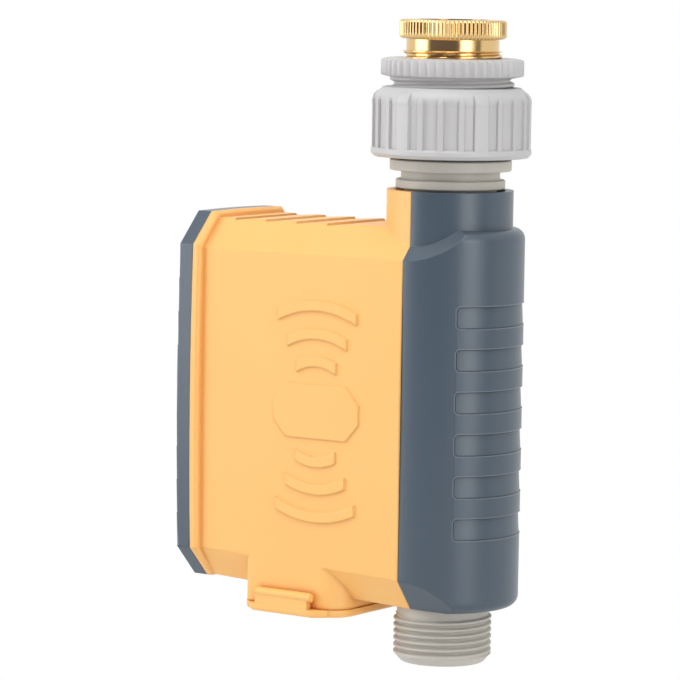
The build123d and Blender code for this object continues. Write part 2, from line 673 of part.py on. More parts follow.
def stem_ring_places():
    """Depths of the two stem seals, within the wall that they seal against."""
    wall_front, wall_back = -STEM_BOSS_REACH, -CHAMBER_R
    return [wall_front + (wall_back - wall_front) * share for share in STEM_O_RING_SHARES]


def stem_o_rings():
    """Seals in the stem's two grooves."""
    rings = []
    for y in stem_ring_places():
        front, back = y - STEM_O_RING_SECTION / 2, y + STEM_O_RING_SECTION / 2
        ring = rod(STEM_R, 0, BALL_Z, front, back)
        rings.append(ring - rod(STEM_R - STEM_O_RING_SECTION, 0, BALL_Z, front, back))
    return Compound(rings)


def gear_outline(teeth, turn_deg):
    """Toothed outline with straight flanks, thinned for backlash."""
    pitch_r = TOOTH_MODULE * teeth / 2
    quarter_pitch = 360 / teeth / 4
    slack = degrees(GEAR_BACKLASH / 2 / pitch_r)
    points = []
    for i in range(teeth):
        middle = turn_deg + i * 360 / teeth
        for rise, share in TOOTH_SHARES:
            side = quarter_pitch * share - (slack if share > 0 else -slack)
            angle = radians(middle + side)
            radius = pitch_r + TOOTH_MODULE * rise
            points.append((radius * cos(angle), radius * sin(angle)))
    return make_face(Polyline(*points, close=True))


def square_hole(front, back):
    """Square hole for the stem's end."""
    half = (SQUARE_W + RUN_GAP) / 2
    return block((-half, front, BALL_Z - half), (half, back, BALL_Z + half))


def stem_gear():
    """Gear on the stem's square end, its hub running in the bracket."""
    face = Plane.XZ.offset(-GEAR_BACK_Y) * gear_outline(STEM_GEAR_TEETH, 90)
    gear = Pos(0, 0, BALL_Z) * extrude(face, GEAR_T)
    hub = rod(GEAR_HUB_R, 0, BALL_Z, BRACKET_FRONT_Y, GEAR_FRONT_Y)
    return gear + hub - square_hole(BRACKET_FRONT_Y, GEAR_BACK_Y)


def valve_cam():
    """Notched cam on the stem's end, which trips the limit switches."""
    cam = rod(CAM_R, 0, BALL_Z, CAM_FRONT_Y, CAM_BACK_Y)
    notch = block((-CAM_R, CAM_FRONT_Y, BALL_Z - CAM_R), (CAM_R, CAM_BACK_Y, BALL_Z - CAM_R + CAM_NOTCH))
    return cam - notch - square_hole(CAM_FRONT_Y, CAM_BACK_Y)


def motor_pinion():
    """Small gear on the motor's shaft, in mesh with the stem gear."""
    back_y = GEAR_BACK_Y + PINION_EXTRA_T
    face = Plane.XZ.offset(-back_y) * gear_outline(PINION_TEETH, -90 + 180 / PINION_TEETH)
    gear = Pos(0, 0, MOTOR_Z) * extrude(face, GEAR_T + PINION_EXTRA_T)
    return gear + rod(MOTOR_SHAFT_R, 0, MOTOR_Z, BRACKET_FRONT_Y - MOTOR_NOSE_L, GEAR_FRONT_Y)


def gear_motor():
    """Flat-sided motor with its gearhead, bolted to the front of the bracket."""
    head_front = BRACKET_FRONT_Y - GEARHEAD_L
    motor_front = head_front - MOTOR_L
    half_w, half_h = MOTOR_W / 2, MOTOR_H / 2
    head = block((-half_w, head_front, MOTOR_Z - half_h), (half_w, BRACKET_FRONT_Y, MOTOR_Z + half_h))
    can = rod(half_w, 0, MOTOR_Z, motor_front, head_front)
    can &= block((-half_w, motor_front, MOTOR_Z - half_h), (half_w, head_front, MOTOR_Z + half_h))
    nose = rod(MOTOR_NOSE_R, 0, MOTOR_Z, BRACKET_FRONT_Y, BRACKET_BACK_Y - LOOSE_GAP)
    end = rod(MOTOR_NOSE_R, 0, MOTOR_Z, motor_front - MOTOR_NOSE_L, motor_front)
    hole_front = BRACKET_FRONT_Y - MOTOR_NOSE_L - LOOSE_GAP
    return head + can + nose + end - rod(MOTOR_SHAFT_R + RUN_GAP, 0, MOTOR_Z, hole_front, BRACKET_BACK_Y)


def gear_bracket():
    """Plate on four posts, which carries the motor in front of the gears."""
    top = MOTOR_Z + BRACKET_TOP_MARGIN
    shoulder = BALL_Z + BRACKET_POST_RISE + BRACKET_POST_R
    plate = block((-BRACKET_HALF_W, BRACKET_FRONT_Y, BRACKET_FOOT_Z),
                  (BRACKET_HALF_W, BRACKET_BACK_Y, shoulder))
    plate += block((-BRACKET_NECK_HALF_W, BRACKET_FRONT_Y, shoulder),
                   (BRACKET_NECK_HALF_W, BRACKET_BACK_Y, top))
    for x in (-BRACKET_POST_X, BRACKET_POST_X):
        for z in bracket_post_heights():
            plate += rod(BRACKET_POST_R, x, z, BRACKET_BACK_Y, -STEM_BOSS_REACH)
            plate -= rod(SCREW_R + RUN_GAP, x, z, BRACKET_FRONT_Y, -STEM_BOSS_REACH)
    plate -= rod(GEAR_HUB_R + RUN_GAP, 0, BALL_Z, BRACKET_FRONT_Y, BRACKET_BACK_Y)
    return plate - rod(MOTOR_NOSE_R + RUN_GAP, 0, MOTOR_Z, BRACKET_FRONT_Y, BRACKET_BACK_Y)


def limit_switches():
    """Two microswitches beside the cam, one for open and one for shut."""
    switches = []
    for side in (-1, 1):
        near, far = side * (CAM_R + LIMIT_GAP), side * (CAM_R + LIMIT_GAP + LIMIT_W)
        body = block((min(near, far), BRACKET_FRONT_Y - LIMIT_T, BALL_Z - LIMIT_H / 2),
                     (max(near, far), BRACKET_FRONT_Y, BALL_Z + LIMIT_H / 2))
        button = Rot(0, 90, 0) * Cylinder(LIMIT_BUTTON_R, LIMIT_BUTTON_STANDS)
        middle_x = near - side * LIMIT_BUTTON_STANDS / 2
        switches.append(body + Pos(middle_x, (CAM_FRONT_Y + CAM_BACK_Y) / 2, BALL_Z) * button)
    return Compound(switches)


def whole_neck():
    """The solid round neck, before it is bored and parted."""
    return disc(NECK_R, NECK_TOP_Z, BODY_TOP_Z - TOP_CUT_H)


def neck_bore():
    """Round hole through the neck."""
    return disc(NECK_R - WALL, NECK_TOP_Z, BODY_TOP_Z - TOP_CUT_H)


def outlet_hole():
    """Round hole in the floor for the outlet's plain lead."""
    return disc(PIPE_R + SEAT_GAP, BODY_FOOT_Z + BOTTOM_CUT_H, BODY_FOOT_Z)


def top_steps():
    """Wedges that leave louvred steps on the top of the box."""
    cuts = []
    for i in range(STEP_COUNT):
        start = STEP_FIRST_Y + i * STEP_PITCH
        end = start + STEP_PITCH
        height = BODY_TOP_Z + OVERRUN
        outline = [(start, BODY_TOP_Z - STEP_DEPTH), (end, BODY_TOP_Z), (end, height), (start, height)]
        face = Plane.YZ * make_face(Polyline(*outline, close=True))
        cuts.append(extrude(face, BACK_R, both=True))
    return cuts


def wave_plane(side):
    """Plane on one side of the box at the middle of the signal waves."""
    x = half_width(WAVE_Y) * side
    slope = (half_width(BOX_FRONT_Y) - BACK_R) / (PART_LINE_Y - BOX_FRONT_Y)
    along = Vector(-slope * side, 1, 0)
    outward = Vector(side, slope, 0)
    return Plane(origin=(x, WAVE_Y, -WAVE_DROP), x_dir=along, z_dir=outward)


def signal_waves(side):
    """Six raised arcs round a bare octagonal pad."""
    face = Sketch()
    for radius, chord in zip(WAVE_RADII, WAVE_HALF_CHORDS):
        band = Circle(radius) - Circle(radius - WAVE_BAND)
        face += band & Rectangle(chord * 2, radius * 2)
    corners = [(PAD_HALF_W - PAD_CUT_W, PAD_HALF_H), (PAD_HALF_W, PAD_HALF_H - PAD_CUT_H)]
    corners += [(x, -z) for x, z in reversed(corners)]
    corners += [(-x, z) for x, z in reversed(corners)]
    pad = make_face(Polyline(*corners, close=True))
    face += fillet(pad.vertices(), PAD_CORNER)
    sunk = wave_plane(side) * Pos(0, 0, -WALL / 2) * face
    return extrude(sunk, BOX_BULGE + WALL / 2 + WAVE_STANDS)


def bay_outline(grow, corner_back, corner_front):
    """Outline of the battery bay seen from below, following the box's taper."""
    front, back = BAY_FRONT_Y - grow, BAY_BACK_Y + grow
    x_front, x_back = half_width(BAY_FRONT_Y) + grow, half_width(BAY_BACK_Y) + grow
    corners = [(-x_front, front), (x_front, front), (x_back, back), (-x_back, back)]
    face = make_face(Polyline(*corners, close=True))
    back_corners = face.vertices().filter_by_position(Axis.Y, back - SEAT_GAP, back + SEAT_GAP)
    face = fillet(back_corners, corner_back)
    front_corners = face.vertices().filter_by_position(Axis.Y, front - SEAT_GAP, front + SEAT_GAP)
    return fillet(front_corners, corner_front)


def bay_half_x():
    """Half the inside width of the battery bay."""
    return half_width(BAY_BACK_Y) - BAY_SIDE_WALL


def bay_cavity(top, foot, shrink=0.0):
    """The space that the four cells stand in."""
    x = bay_half_x() - shrink
    low = (-x, BAY_FRONT_Y + BAY_WALL + shrink, foot)
    high = (x, BAY_BACK_Y - BAY_WALL - shrink, top)
    cavity = block(low, high)
    back_edges = cavity.edges().filter_by(Axis.Z).group_by(Axis.Y)[-1]
    return fillet(back_edges, BAY_BACK_CORNER - BAY_WALL)


def board_boss_places():
    """Where the four bosses of the circuit board stand, as X and Z."""
    middle = (BODY_TOP_Z + BODY_FOOT_Z) / 2
    x = BOARD_W / 2 - SCREW_HEAD_R
    z = BOARD_H / 2 - SCREW_HEAD_R
    return [(sx * x, middle + sz * z) for sx in (-1, 1) for sz in (-1, 1)]


def shell_screw_places():
    """Where the screws join the case to the rear shell, as X and Z."""
    return [(side * SHELL_BOSS_X, -drop) for side in (-1, 1) for drop in SHELL_SCREW_DROPS]


def main_case():
    """Yellow case: tapering box with a flange at its front, the front of the neck and the battery bay."""
    outer = loft([box_outline(BOX_FRONT_Y), box_outline(PART_LINE_Y)], ruled=True)
    for cut in top_steps():
        outer -= cut
    flange = loft([panel_outline(SEAM_Y), panel_outline(BOX_FRONT_Y)], ruled=True)
    flange = chamfer(flange.faces().sort_by(Axis.Y)[-1].edges(), FLANGE_EDGE)
    outer += flange
    outer += front_half(whole_neck())
    outer += signal_waves(1) + signal_waves(-1)
    bay_top = BODY_FOOT_Z + BOX_FRONT_RISE + BOTTOM_CUT_H + WALL
    bay_face = bay_outline(0, BAY_BACK_CORNER, BAY_FRONT_CORNER)
    outer += Pos(0, 0, BAY_FOOT_Z) * extrude(bay_face, bay_top - BAY_FOOT_Z)
    back_gap = PART_LINE_Y + OVERRUN
    cavity = loft([box_outline(SEAM_Y, WALL), box_outline(back_gap, WALL)], ruled=True)
    cavity -= bay_cavity(ROOF_TOP_Z, BAY_FOOT_Z, -BAY_WALL)
    case = outer - cavity - neck_bore() - outlet_hole()
    case -= bay_cavity(ROOF_TOP_Z, BAY_FOOT_Z)
    for x, z in board_boss_places():
        post_back = min(BAY_FRONT_Y, -BOARD_BACK + BOARD_BOSS_L)
        web_x = half_width(post_back) - WALL / 2
        post = rod(BOSS_R, x, z, -BOARD_BACK, post_back)
        low_x, high_x = sorted((x, web_x * (1 if x > 0 else -1)))
        web = block((low_x, -BOARD_BACK + WALL, z - WALL / 2), (high_x, post_back, z + WALL / 2))
        case += post + web
        case -= rod(SCREW_R, x, z, -BOARD_BACK, -BOARD_BACK + SCREW_L - BOARD_T)
    for x, z in shell_screw_places():
        lug_front = PART_LINE_Y - SHELL_BOSS_LUG
        outward = half_width(PART_LINE_Y) - WALL / 2
        low_x, high_x = sorted((x, outward * (1 if x > 0 else -1)))
        lug = rod(BOSS_R, x, z, lug_front, PART_LINE_Y)
        lug += block((low_x, lug_front, z - BOSS_R), (high_x, PART_LINE_Y, z + BOSS_R))
        case += lug & loft([box_outline(BOX_FRONT_Y), box_outline(PART_LINE_Y)], ruled=True)
        case -= rod(SCREW_R + RUN_GAP, x, z, lug_front, PART_LINE_Y)
    groove = gasket_ring(SEAM_Y, GASKET_H)
    case -= groove
    return case + hinge_eyes(False) - hinge_room() - hinge_pin()


def gasket_ring(front, depth):
    """Seal round the front opening, between two octagons."""
    inset = WALL - GASKET_W / 2
    outer = extrude(panel_outline(front, inset), -depth)
    inner = extrude(panel_outline(front, inset + GASKET_W), -depth)
    return outer - inner


def rear_shell():
    """Slate shell: round back, chamfered top and bottom like the box, and the back of the neck."""
    reach = BACK_R + OVERRUN
    column = disc(BACK_R, BODY_TOP_Z, BODY_FOOT_Z)
    profile = octagon(-reach, BACK_R, BODY_TOP_Z, BODY_FOOT_Z, TOP_CUT, BOTTOM_CUT, 0, BOX_BULGE)
    prism = extrude(profile, -reach * 2)
    body = rear_half(column & prism)
    rims = body.edges().filter_by(GeomType.CIRCLE)
    body = fillet([e for e in rims if e.center().Y > PART_LINE_Y + OVERRUN], BACK_EDGE)
    grip_tops = [BODY_TOP_Z - GRIP_FIRST_DROP - i * GRIP_PITCH for i in range(GRIP_COUNT)]
    for grip_top in grip_tops[1:]:
        land_top = grip_top + GRIP_PITCH - GRIP_H
        body += grip_band(BACK_R - WALL / 2, BACK_R + GRIP_LAND_STANDS, land_top, grip_top)
    for grip_top in grip_tops:
        body -= grip_pocket(grip_top)
    inner = disc(BACK_R - WALL, BODY_TOP_Z - WALL, BODY_FOOT_Z + WALL)
    inner_profile = octagon(-reach, BACK_R, BODY_TOP_Z, BODY_FOOT_Z, TOP_CUT, BOTTOM_CUT, WALL)
    inner &= extrude(inner_profile, -reach * 2)
    shell = body + rear_half(whole_neck())
    shell = shell - inner - neck_bore() - outlet_hole()
    for x, z in shell_screw_places():
        boss = rod(BOSS_R, x, z, PART_LINE_Y, PART_LINE_Y + SCREW_L)
        shell += boss & rear_half(column & prism)
        shell -= rod(SCREW_R, x, z, PART_LINE_Y, PART_LINE_Y + SCREW_L - OVERRUN)
    return shell - disc(PIPE_R + SEAT_GAP, BODY_TOP_Z, BODY_FOOT_Z)


def grip_band(inner, outer, top, foot, inner_foot=None):
    """Part of a ring round the back, as wide as the finger grips."""
    points = [(inner, top), (outer, top), (outer, foot), (inner_foot or inner, foot)]
    face = Plane.XZ * make_face(Polyline(*points, close=True))
    return revolve(Rot(0, 0, GRIP_FROM_DEG) * face, Axis.Z, GRIP_TO_DEG - GRIP_FROM_DEG)


def grip_pocket(top):
    """Finger grip with round corners, deepest at its top edge and fading downwards."""
    foot = top - GRIP_H
    pocket = grip_band(BACK_R - GRIP_DEPTH, BACK_R + OVERRUN, top, foot, BACK_R - GRIP_FOOT_DEPTH)
    corners = [e for e in pocket.edges().filter_by(GeomType.LINE) if abs(e.center().Z - top) < SEAT_GAP
               or abs(e.center().Z - foot) < SEAT_GAP]
    return fillet(corners, GRIP_CORNER)


def front_panel():
    """Slate front cover: plain octagonal plate with a rim, a dished button hole and a lens hole."""
    outer = loft([panel_outline(FRONT_Y), panel_outline(SEAM_Y)], ruled=True)
    outer = fillet(outer.faces().sort_by(Axis.Y)[0].edges(), PANEL_EDGE)
    hollow_depth = PANEL_T - PANEL_SKIN
    hollow = extrude(panel_outline(SEAM_Y - hollow_depth, WALL * 2), -hollow_depth)
    tongue = extrude(box_outline_at_seam(WALL + LOOSE_GAP), -PANEL_TONGUE_L)
    tongue -= extrude(box_outline_at_seam(WALL * 2), -PANEL_TONGUE_L)
    panel = outer - hollow + tongue
    dish = rod(BUTTON_DISH_R, 0, BUTTON_Z, FRONT_Y, FRONT_Y + BUTTON_DISH_DEPTH)
    hole = rod(BUTTON_R + RUN_GAP, 0, BUTTON_Z, FRONT_Y, FRONT_Y + PANEL_T)
    lens = rod(LENS_R + RUN_GAP, 0, LENS_Z, FRONT_Y, FRONT_Y + PANEL_T)
    head = rod(LENS_R + LENS_HEAD + RUN_GAP, 0, LENS_Z, FRONT_Y, FRONT_Y + LENS_HEAD)
    return panel - dish - hole - lens - head


def box_outline_at_seam(inset):
    """The box's inside outline, carried forward to the seam."""
    return Pos(0, SEAM_Y - BOX_FRONT_Y, 0) * box_outline(BOX_FRONT_Y, inset)


def panel_gasket():
    """Seal in the groove between the case and the front panel."""
    return gasket_ring(SEAM_Y, GASKET_H)


def push_button():
    """Manual button: cap, retaining rim behind the panel and a stem down to the switch."""
    cap_front = FRONT_Y + BUTTON_DISH_DEPTH / 2
    rim_front = FRONT_Y + PANEL_SKIN + SEAT_GAP
    stem_back = BOARD_FRONT_Y - SWITCH_H - PLUNGER_STANDS
    cap = rod(BUTTON_R, 0, BUTTON_Z, cap_front, rim_front + BUTTON_RIM_T)
    rim = rod(BUTTON_R + BUTTON_RIM, 0, BUTTON_Z, rim_front, rim_front + BUTTON_RIM_T)
    stem = rod(BUTTON_STEM_R, 0, BUTTON_Z, rim_front, stem_back)
    return cap + rim + stem


def tact_switch():
    """Small square switch on the board, behind the button."""
    half = SWITCH_SIDE / 2
    front = BOARD_FRONT_Y - SWITCH_H
    body = block((-half, front, BUTTON_Z - half), (half, BOARD_FRONT_Y, BUTTON_Z + half))
    well = PLUNGER_STANDS + BUTTON_TRAVEL
    return body - rod(PLUNGER_R + RUN_GAP, 0, BUTTON_Z, front, front + well)


def switch_plunger():
    """The switch's own plunger, which the button's stem pushes."""
    front = BOARD_FRONT_Y - SWITCH_H - PLUNGER_STANDS
    return rod(PLUNGER_R, 0, BUTTON_Z, front, BOARD_FRONT_Y - SWITCH_H + PLUNGER_STANDS / 2)


def light_guide():
    """Clear guide from the board's lamp to the panel."""
    head = rod(LENS_R + LENS_HEAD, 0, LENS_Z, FRONT_Y, FRONT_Y + LENS_HEAD)
    return head + rod(LENS_R, 0, LENS_Z, FRONT_Y, BOARD_FRONT_Y - CHIP_T)


def circuit_board():
    """Board with clipped corners, its control chip, lamp and terminal block."""
    middle = (BODY_TOP_Z + BODY_FOOT_Z) / 2
    outline = Plane.XZ.offset(-BOARD_FRONT_Y) * (Pos(0, middle) * Rectangle(BOARD_W, BOARD_H))
    board = extrude(outline, -BOARD_T)
    board = chamfer(board.edges().filter_by(Axis.Y), BOARD_CUT / 2)
    for x, z in board_boss_places():
        board -= rod(SCREW_R + SEAT_GAP, x, z, BOARD_FRONT_Y, -BOARD_BACK)
    half = CHIP_SIDE / 2
    chip_z = BUTTON_Z - CHIP_SIDE * 2
    chip = block((-half, BOARD_FRONT_Y - CHIP_T, chip_z - half), (half, BOARD_FRONT_Y, chip_z + half))
    lamp = block((-half / 2, BOARD_FRONT_Y - CHIP_T, LENS_Z - half / 2),
                 (half / 2, BOARD_FRONT_Y, LENS_Z + half / 2))
    sockets = block((-half * 2, -BOARD_BACK, chip_z - half),
                    (half * 2, -BOARD_BACK + CHIP_SIDE, chip_z + half))
    return board + chip + lamp + sockets


def radio_module():
    """Shielded radio module at the foot of the board, its aerial strip outermost."""
    foot = (BODY_TOP_Z + BODY_FOOT_Z - BOARD_H) / 2
    top = foot + RADIO_H
    base_front = BOARD_FRONT_Y - RADIO_T + CHIP_T
    half = RADIO_W / 2
    base = block((-half, base_front, foot), (half, BOARD_FRONT_Y, top))
    can = block((-half + RADIO_CAN_MARGIN, BOARD_FRONT_Y - RADIO_T, foot + half),
                (half - RADIO_CAN_MARGIN, base_front, top - RADIO_CAN_MARGIN))
    return base + can


def screw(x, z, front):
    """Pan-head screw that points backwards, its head's front face at a depth."""
    head = rod(SCREW_HEAD_R, x, z, front, front + SCREW_HEAD_H)
    shank = rod(SCREW_R, x, z, front, front + SCREW_HEAD_H + SCREW_L - OVERRUN)
    socket = Pos(x, front + SCREW_SLOT_DEPTH / 2, z) * Rot(90, 0, 0) * extrude(
        RegularPolygon(SCREW_SLOT_R, 6), SCREW_SLOT_DEPTH / 2, both=True)
    return head + shank - socket


def case_screws():
    """All the small screws: board, gear bracket and rear shell."""
    screws = [screw(x, z, BOARD_FRONT_Y - SCREW_HEAD_H) for x, z in board_boss_places()]
    for x in (-BRACKET_POST_X, BRACKET_POST_X):
        screws += [screw(x, z, BRACKET_FRONT_Y - SCREW_HEAD_H) for z in bracket_post_heights()]
    lug_front = PART_LINE_Y - SHELL_BOSS_LUG
    screws += [screw(x, z, lug_front - SCREW_HEAD_H) for x, z in shell_screw_places()]
    return Compound(screws)


def cell_places():
    """Where the four cells stand, as X and Y."""
    y = CELL_R + CELL_GAP
    return [(sx * CELL_X, BAY_MID_Y + sy * y) for sx in (-1, 1) for sy in (-1, 1)]


def batteries():
    """Four upright AA cells."""
    cells = []
    for x, y in cell_places():
        cell = disc(CELL_R, CELL_TOP_Z, CELL_FOOT_Z) + disc(CELL_NUB_R, CELL_TOP_Z + CELL_NUB_H, CELL_TOP_Z)
        cells.append(Pos(x, y, 0) * cell)
    return Compound(cells)


def bay_roof():
    """Plate that closes the battery bay above the cells."""
    roof = bay_cavity(ROOF_TOP_Z, ROOF_FOOT_Z, RUN_GAP)
    rib_foot = CELL_TOP_Z - CELL_R
    rib_half = CELL_X - CELL_R - LOOSE_GAP
    rib = block((-rib_half, BAY_FRONT_Y + BAY_WALL + RUN_GAP, rib_foot),
                (rib_half, BAY_BACK_Y - BAY_WALL - RUN_GAP, ROOF_FOOT_Z))
    return roof + rib


def roof_contacts():
    """Spring plates under the bay's roof, one over each pair of cells."""
    plates = []
    for side in (-1, 1):
        x = side * CELL_X
        reach = CELL_R + CONTACT_OVERHANG
        plate = block((x - CONTACT_HALF_W, BAY_MID_Y - reach, ROOF_FOOT_Z - CONTACT_T),
                      (x + CONTACT_HALF_W, BAY_MID_Y + reach, ROOF_FOOT_Z))
        for cx, cy in cell_places():
            if cx * side > 0:
                plate += Pos(cx, cy, 0) * disc(CELL_NUB_R, ROOF_FOOT_Z, CELL_TOP_Z + CELL_NUB_H + SEAT_GAP)
        plates.append(plate)
    return Compound(plates)


def battery_cover():
    """Cover under the bay: rimmed plate with a snap tongue on one side and hinge eyes on the other."""
    plate = Pos(0, 0, COVER_FOOT_Z) * extrude(cover_outline(), COVER_T)
    plate = fillet(plate.faces().sort_by(Axis.Z)[0].edges(), COVER_EDGE)
    plate += tongue()
    plate -= cover_gasket_ring(COVER_GASKET_H)
    for front, back in hinge_spans(False):
        plate -= rod(HINGE_EYE_R + LOOSE_GAP, hinge_x(), HINGE_Z, front - LOOSE_GAP, back + LOOSE_GAP)
    return plate + hinge_eyes(True) - hinge_pin_hole()


def tongue_inner_x():
    """How far out the inner face of the tongue lies, clear of the bay's wall."""
    return half_width(TONGUE_FROM_Y) + BOX_BULGE / 2 + TONGUE_GAP


def cover_outline():
    """The cover seen from below: the bay's outline, swelling out softly to carry the tongue."""
    face = bay_outline(COVER_STANDS, BAY_BACK_CORNER + COVER_STANDS, BAY_FRONT_CORNER + COVER_EDGE)
    out_x = tongue_inner_x() + TONGUE_T
    front_y, back_y = TONGUE_FROM_Y - TONGUE_SWELL_EXTRA, TONGUE_TO_Y + TONGUE_SWELL_EXTRA
    taper_y = back_y + TONGUE_TAPER
    corner_y = BAY_FRONT_Y + BAY_FRONT_CORNER
    swell = make_face(Polyline(
        (0, TONGUE_FROM_Y), (half_width(corner_y), corner_y), (out_x, front_y), (out_x, back_y),
        (half_width(taper_y), taper_y), (0, TONGUE_TO_Y), close=True))
    rounded = swell.vertices().filter_by_position(Axis.X, out_x - SEAT_GAP, out_x + SEAT_GAP)
    return face + fillet(rounded, TONGUE_ROUND)


def tongue():
    """Springy tongue that snaps over the bay's wall, with a rolled lip to pull."""
    inner = tongue_inner_x()
    outer = inner + TONGUE_T
    top = COVER_TOP_Z + TONGUE_H
    stem = block((inner, TONGUE_FROM_Y, COVER_TOP_Z - COVER_EDGE),
                 (outer, TONGUE_TO_Y, top - TONGUE_LIP_R))
    lip_x = outer + TONGUE_LIP_STANDS - TONGUE_LIP_R
    lip_top = top - TONGUE_LIP_R
    lip = rod(TONGUE_LIP_R, lip_x, lip_top, TONGUE_FROM_Y, TONGUE_TO_Y + TONGUE_LIP_EXTRA)
    lip += block((inner, TONGUE_FROM_Y, lip_top - TONGUE_LIP_R), (lip_x, TONGUE_TO_Y, top))
    return stem + lip


def hinge_x():
    """How far out the hinge pin lies on the far side."""
    return -half_width(BAY_MID_Y) - HINGE_OUT


def hinge_spans(on_cover):
    """Stretches along Y of the hinge eyes: two on the cover and one on the case between them."""
    length = BAY_BACK_Y - BAY_BACK_CORNER - BAY_FRONT_Y
    places = [BAY_FRONT_Y + length * share for share in HINGE_EYE_SHARES]
    if on_cover:
        return [(places[0], places[1]), (places[2], places[3])]
    return [(places[1] + LOOSE_GAP, places[2] - LOOSE_GAP)]


def hinge_eyes(on_cover):
    """Round hinge eyes with the web that ties them to their piece."""
    eyes = Part()
    x = hinge_x()
    wall_x = -half_width(BAY_BACK_Y)
    for front, back in hinge_spans(on_cover):
        eyes += rod(HINGE_EYE_R, x, HINGE_Z, front, back)
        if on_cover:
            eyes += block((x, front, COVER_FOOT_Z + COVER_EDGE), (wall_x, back, COVER_TOP_Z))
            eyes += block((x - HINGE_EYE_R, front, COVER_FOOT_Z + COVER_EDGE), (x, back, HINGE_Z)) & rod(
                HINGE_Z - COVER_FOOT_Z, x, HINGE_Z, front, back)
        else:
            eyes += block((x, front, HINGE_Z), (wall_x, back, HINGE_Z + HINGE_EYE_R))
    return eyes


def hinge_room():
    """Space cut into the bay's wall so that the cover's eyes can turn."""
    room = Part()
    for front, back in hinge_spans(True):
        room += rod(HINGE_EYE_R + LOOSE_GAP, hinge_x(), HINGE_Z, front - LOOSE_GAP, back + LOOSE_GAP)
    return room


def hinge_pin():
    """Steel pin of the cover's hinge."""
    spans = hinge_spans(True)
    return rod(HINGE_PIN_R, hinge_x(), HINGE_Z, spans[0][0], spans[1][1])


def hinge_pin_hole():
    """Running hole round the pin."""
    spans = hinge_spans(True)
    return rod(HINGE_PIN_R + RUN_GAP, hinge_x(), HINGE_Z, spans[0][0], spans[1][1])


def cover_gasket_ring(height):
    """Rectangular ring on the cover, under the bay's rim."""
    outer = bay_cavity(COVER_TOP_Z, COVER_TOP_Z - height, -COVER_GASKET_W - RUN_GAP)
    return outer - bay_cavity(COVER_TOP_Z, COVER_TOP_Z - height, -RUN_GAP)


def cover_gasket():
    """Rubber ring in the cover's groove."""
    return cover_gasket_ring(COVER_GASKET_H)


def cover_contacts():
    """Two spring plates on the cover, each joining two cells across the bay."""
    plates = []
    for y in sorted({place[1] for place in cell_places()}):
        reach = CELL_X + CONTACT_OVERHANG
        top = COVER_TOP_Z + CONTACT_T
        plate = block((-reach, y - CONTACT_HALF_W, COVER_TOP_Z), (reach, y + CONTACT_HALF_W, top))
        for side in (-1, 1):
            plate += Pos(side * CELL_X, y, 0) * disc(CELL_NUB_R, COVER_TOP_Z + CONTACT_SPRING_H, COVER_TOP_Z)
        plates.append(plate)
    return Compound(plates)


PIECES = [
    brass_tap_adapter, tap_washer, thread_reducer, reducer_washer, swivel_nut, nut_clip, inlet_filter,
    valve_body, outlet_fitting, outlet_o_ring, ball_seats, valve_ball, valve_stem, stem_o_rings,
    stem_gear, valve_cam, motor_pinion, gear_motor, gear_bracket, limit_switches, main_case, rear_shell,
    front_panel, panel_gasket, push_button, tact_switch, switch_plunger, light_guide, circuit_board,
    radio_module, case_screws, batteries, bay_roof, roof_contacts, battery_cover, hinge_pin,
    cover_gasket, cover_contacts,
]

os.makedirs("parts", exist_ok=True)
for piece in PIECES:
    solid = piece()
    export_step(solid, f"parts/{piece.__name__}.step")
    print(piece.__name__, len(solid.solids()), round(solid.volume, 1))
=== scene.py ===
from math import cos, pi, radians, sin, tau

import bmesh
import bpy
import numpy as np
from bpy.props import FloatProperty, IntProperty, PointerProperty, StringProperty
from mathutils import Matrix, Vector


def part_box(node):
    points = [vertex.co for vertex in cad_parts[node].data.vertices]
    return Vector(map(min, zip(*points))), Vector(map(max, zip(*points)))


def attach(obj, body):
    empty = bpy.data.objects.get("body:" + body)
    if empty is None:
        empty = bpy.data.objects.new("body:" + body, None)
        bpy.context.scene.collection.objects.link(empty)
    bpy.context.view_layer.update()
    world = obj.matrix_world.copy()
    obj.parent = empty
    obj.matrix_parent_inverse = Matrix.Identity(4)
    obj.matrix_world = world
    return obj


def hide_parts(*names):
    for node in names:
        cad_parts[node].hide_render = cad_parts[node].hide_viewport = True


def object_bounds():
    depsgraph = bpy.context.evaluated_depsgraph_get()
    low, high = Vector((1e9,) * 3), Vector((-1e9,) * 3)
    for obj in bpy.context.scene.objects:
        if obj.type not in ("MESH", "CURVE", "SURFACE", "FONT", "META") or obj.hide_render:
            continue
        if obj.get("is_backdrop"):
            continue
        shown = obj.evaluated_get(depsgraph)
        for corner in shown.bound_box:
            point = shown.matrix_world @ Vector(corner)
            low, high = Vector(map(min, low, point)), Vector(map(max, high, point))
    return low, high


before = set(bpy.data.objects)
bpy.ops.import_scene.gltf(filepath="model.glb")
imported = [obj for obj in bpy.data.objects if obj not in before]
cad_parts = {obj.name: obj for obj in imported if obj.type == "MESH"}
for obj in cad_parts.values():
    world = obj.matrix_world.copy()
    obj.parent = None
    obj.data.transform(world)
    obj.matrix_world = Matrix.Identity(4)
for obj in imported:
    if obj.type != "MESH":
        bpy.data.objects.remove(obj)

bl_info = {
    "name": "Wifi water timer",
    "version": (1, 0, 0),
    "blender": (4, 5, 0),
    "location": "View3D > Sidebar > Timer",
    "description": "Dresses the CAD model of a water timer with its finishes and screw threads",
    "category": "Object",
}

MM = 0.001
WHITE = "#FFFFFF"

# Bevel and occlusion rays for each sample of a moulded plastic
SHADING_RAYS = 8


# Tools that every piece uses

def linear(code):
    """Turns an sRGB hex colour into linear red, green, blue and alpha."""
    values = [int(code[i:i + 2], 16) / 255 for i in (1, 3, 5)]
    return [v / 12.92 if v <= 0.04045 else ((v + 0.055) / 1.055) ** 2.4 for v in values] + [1.0]


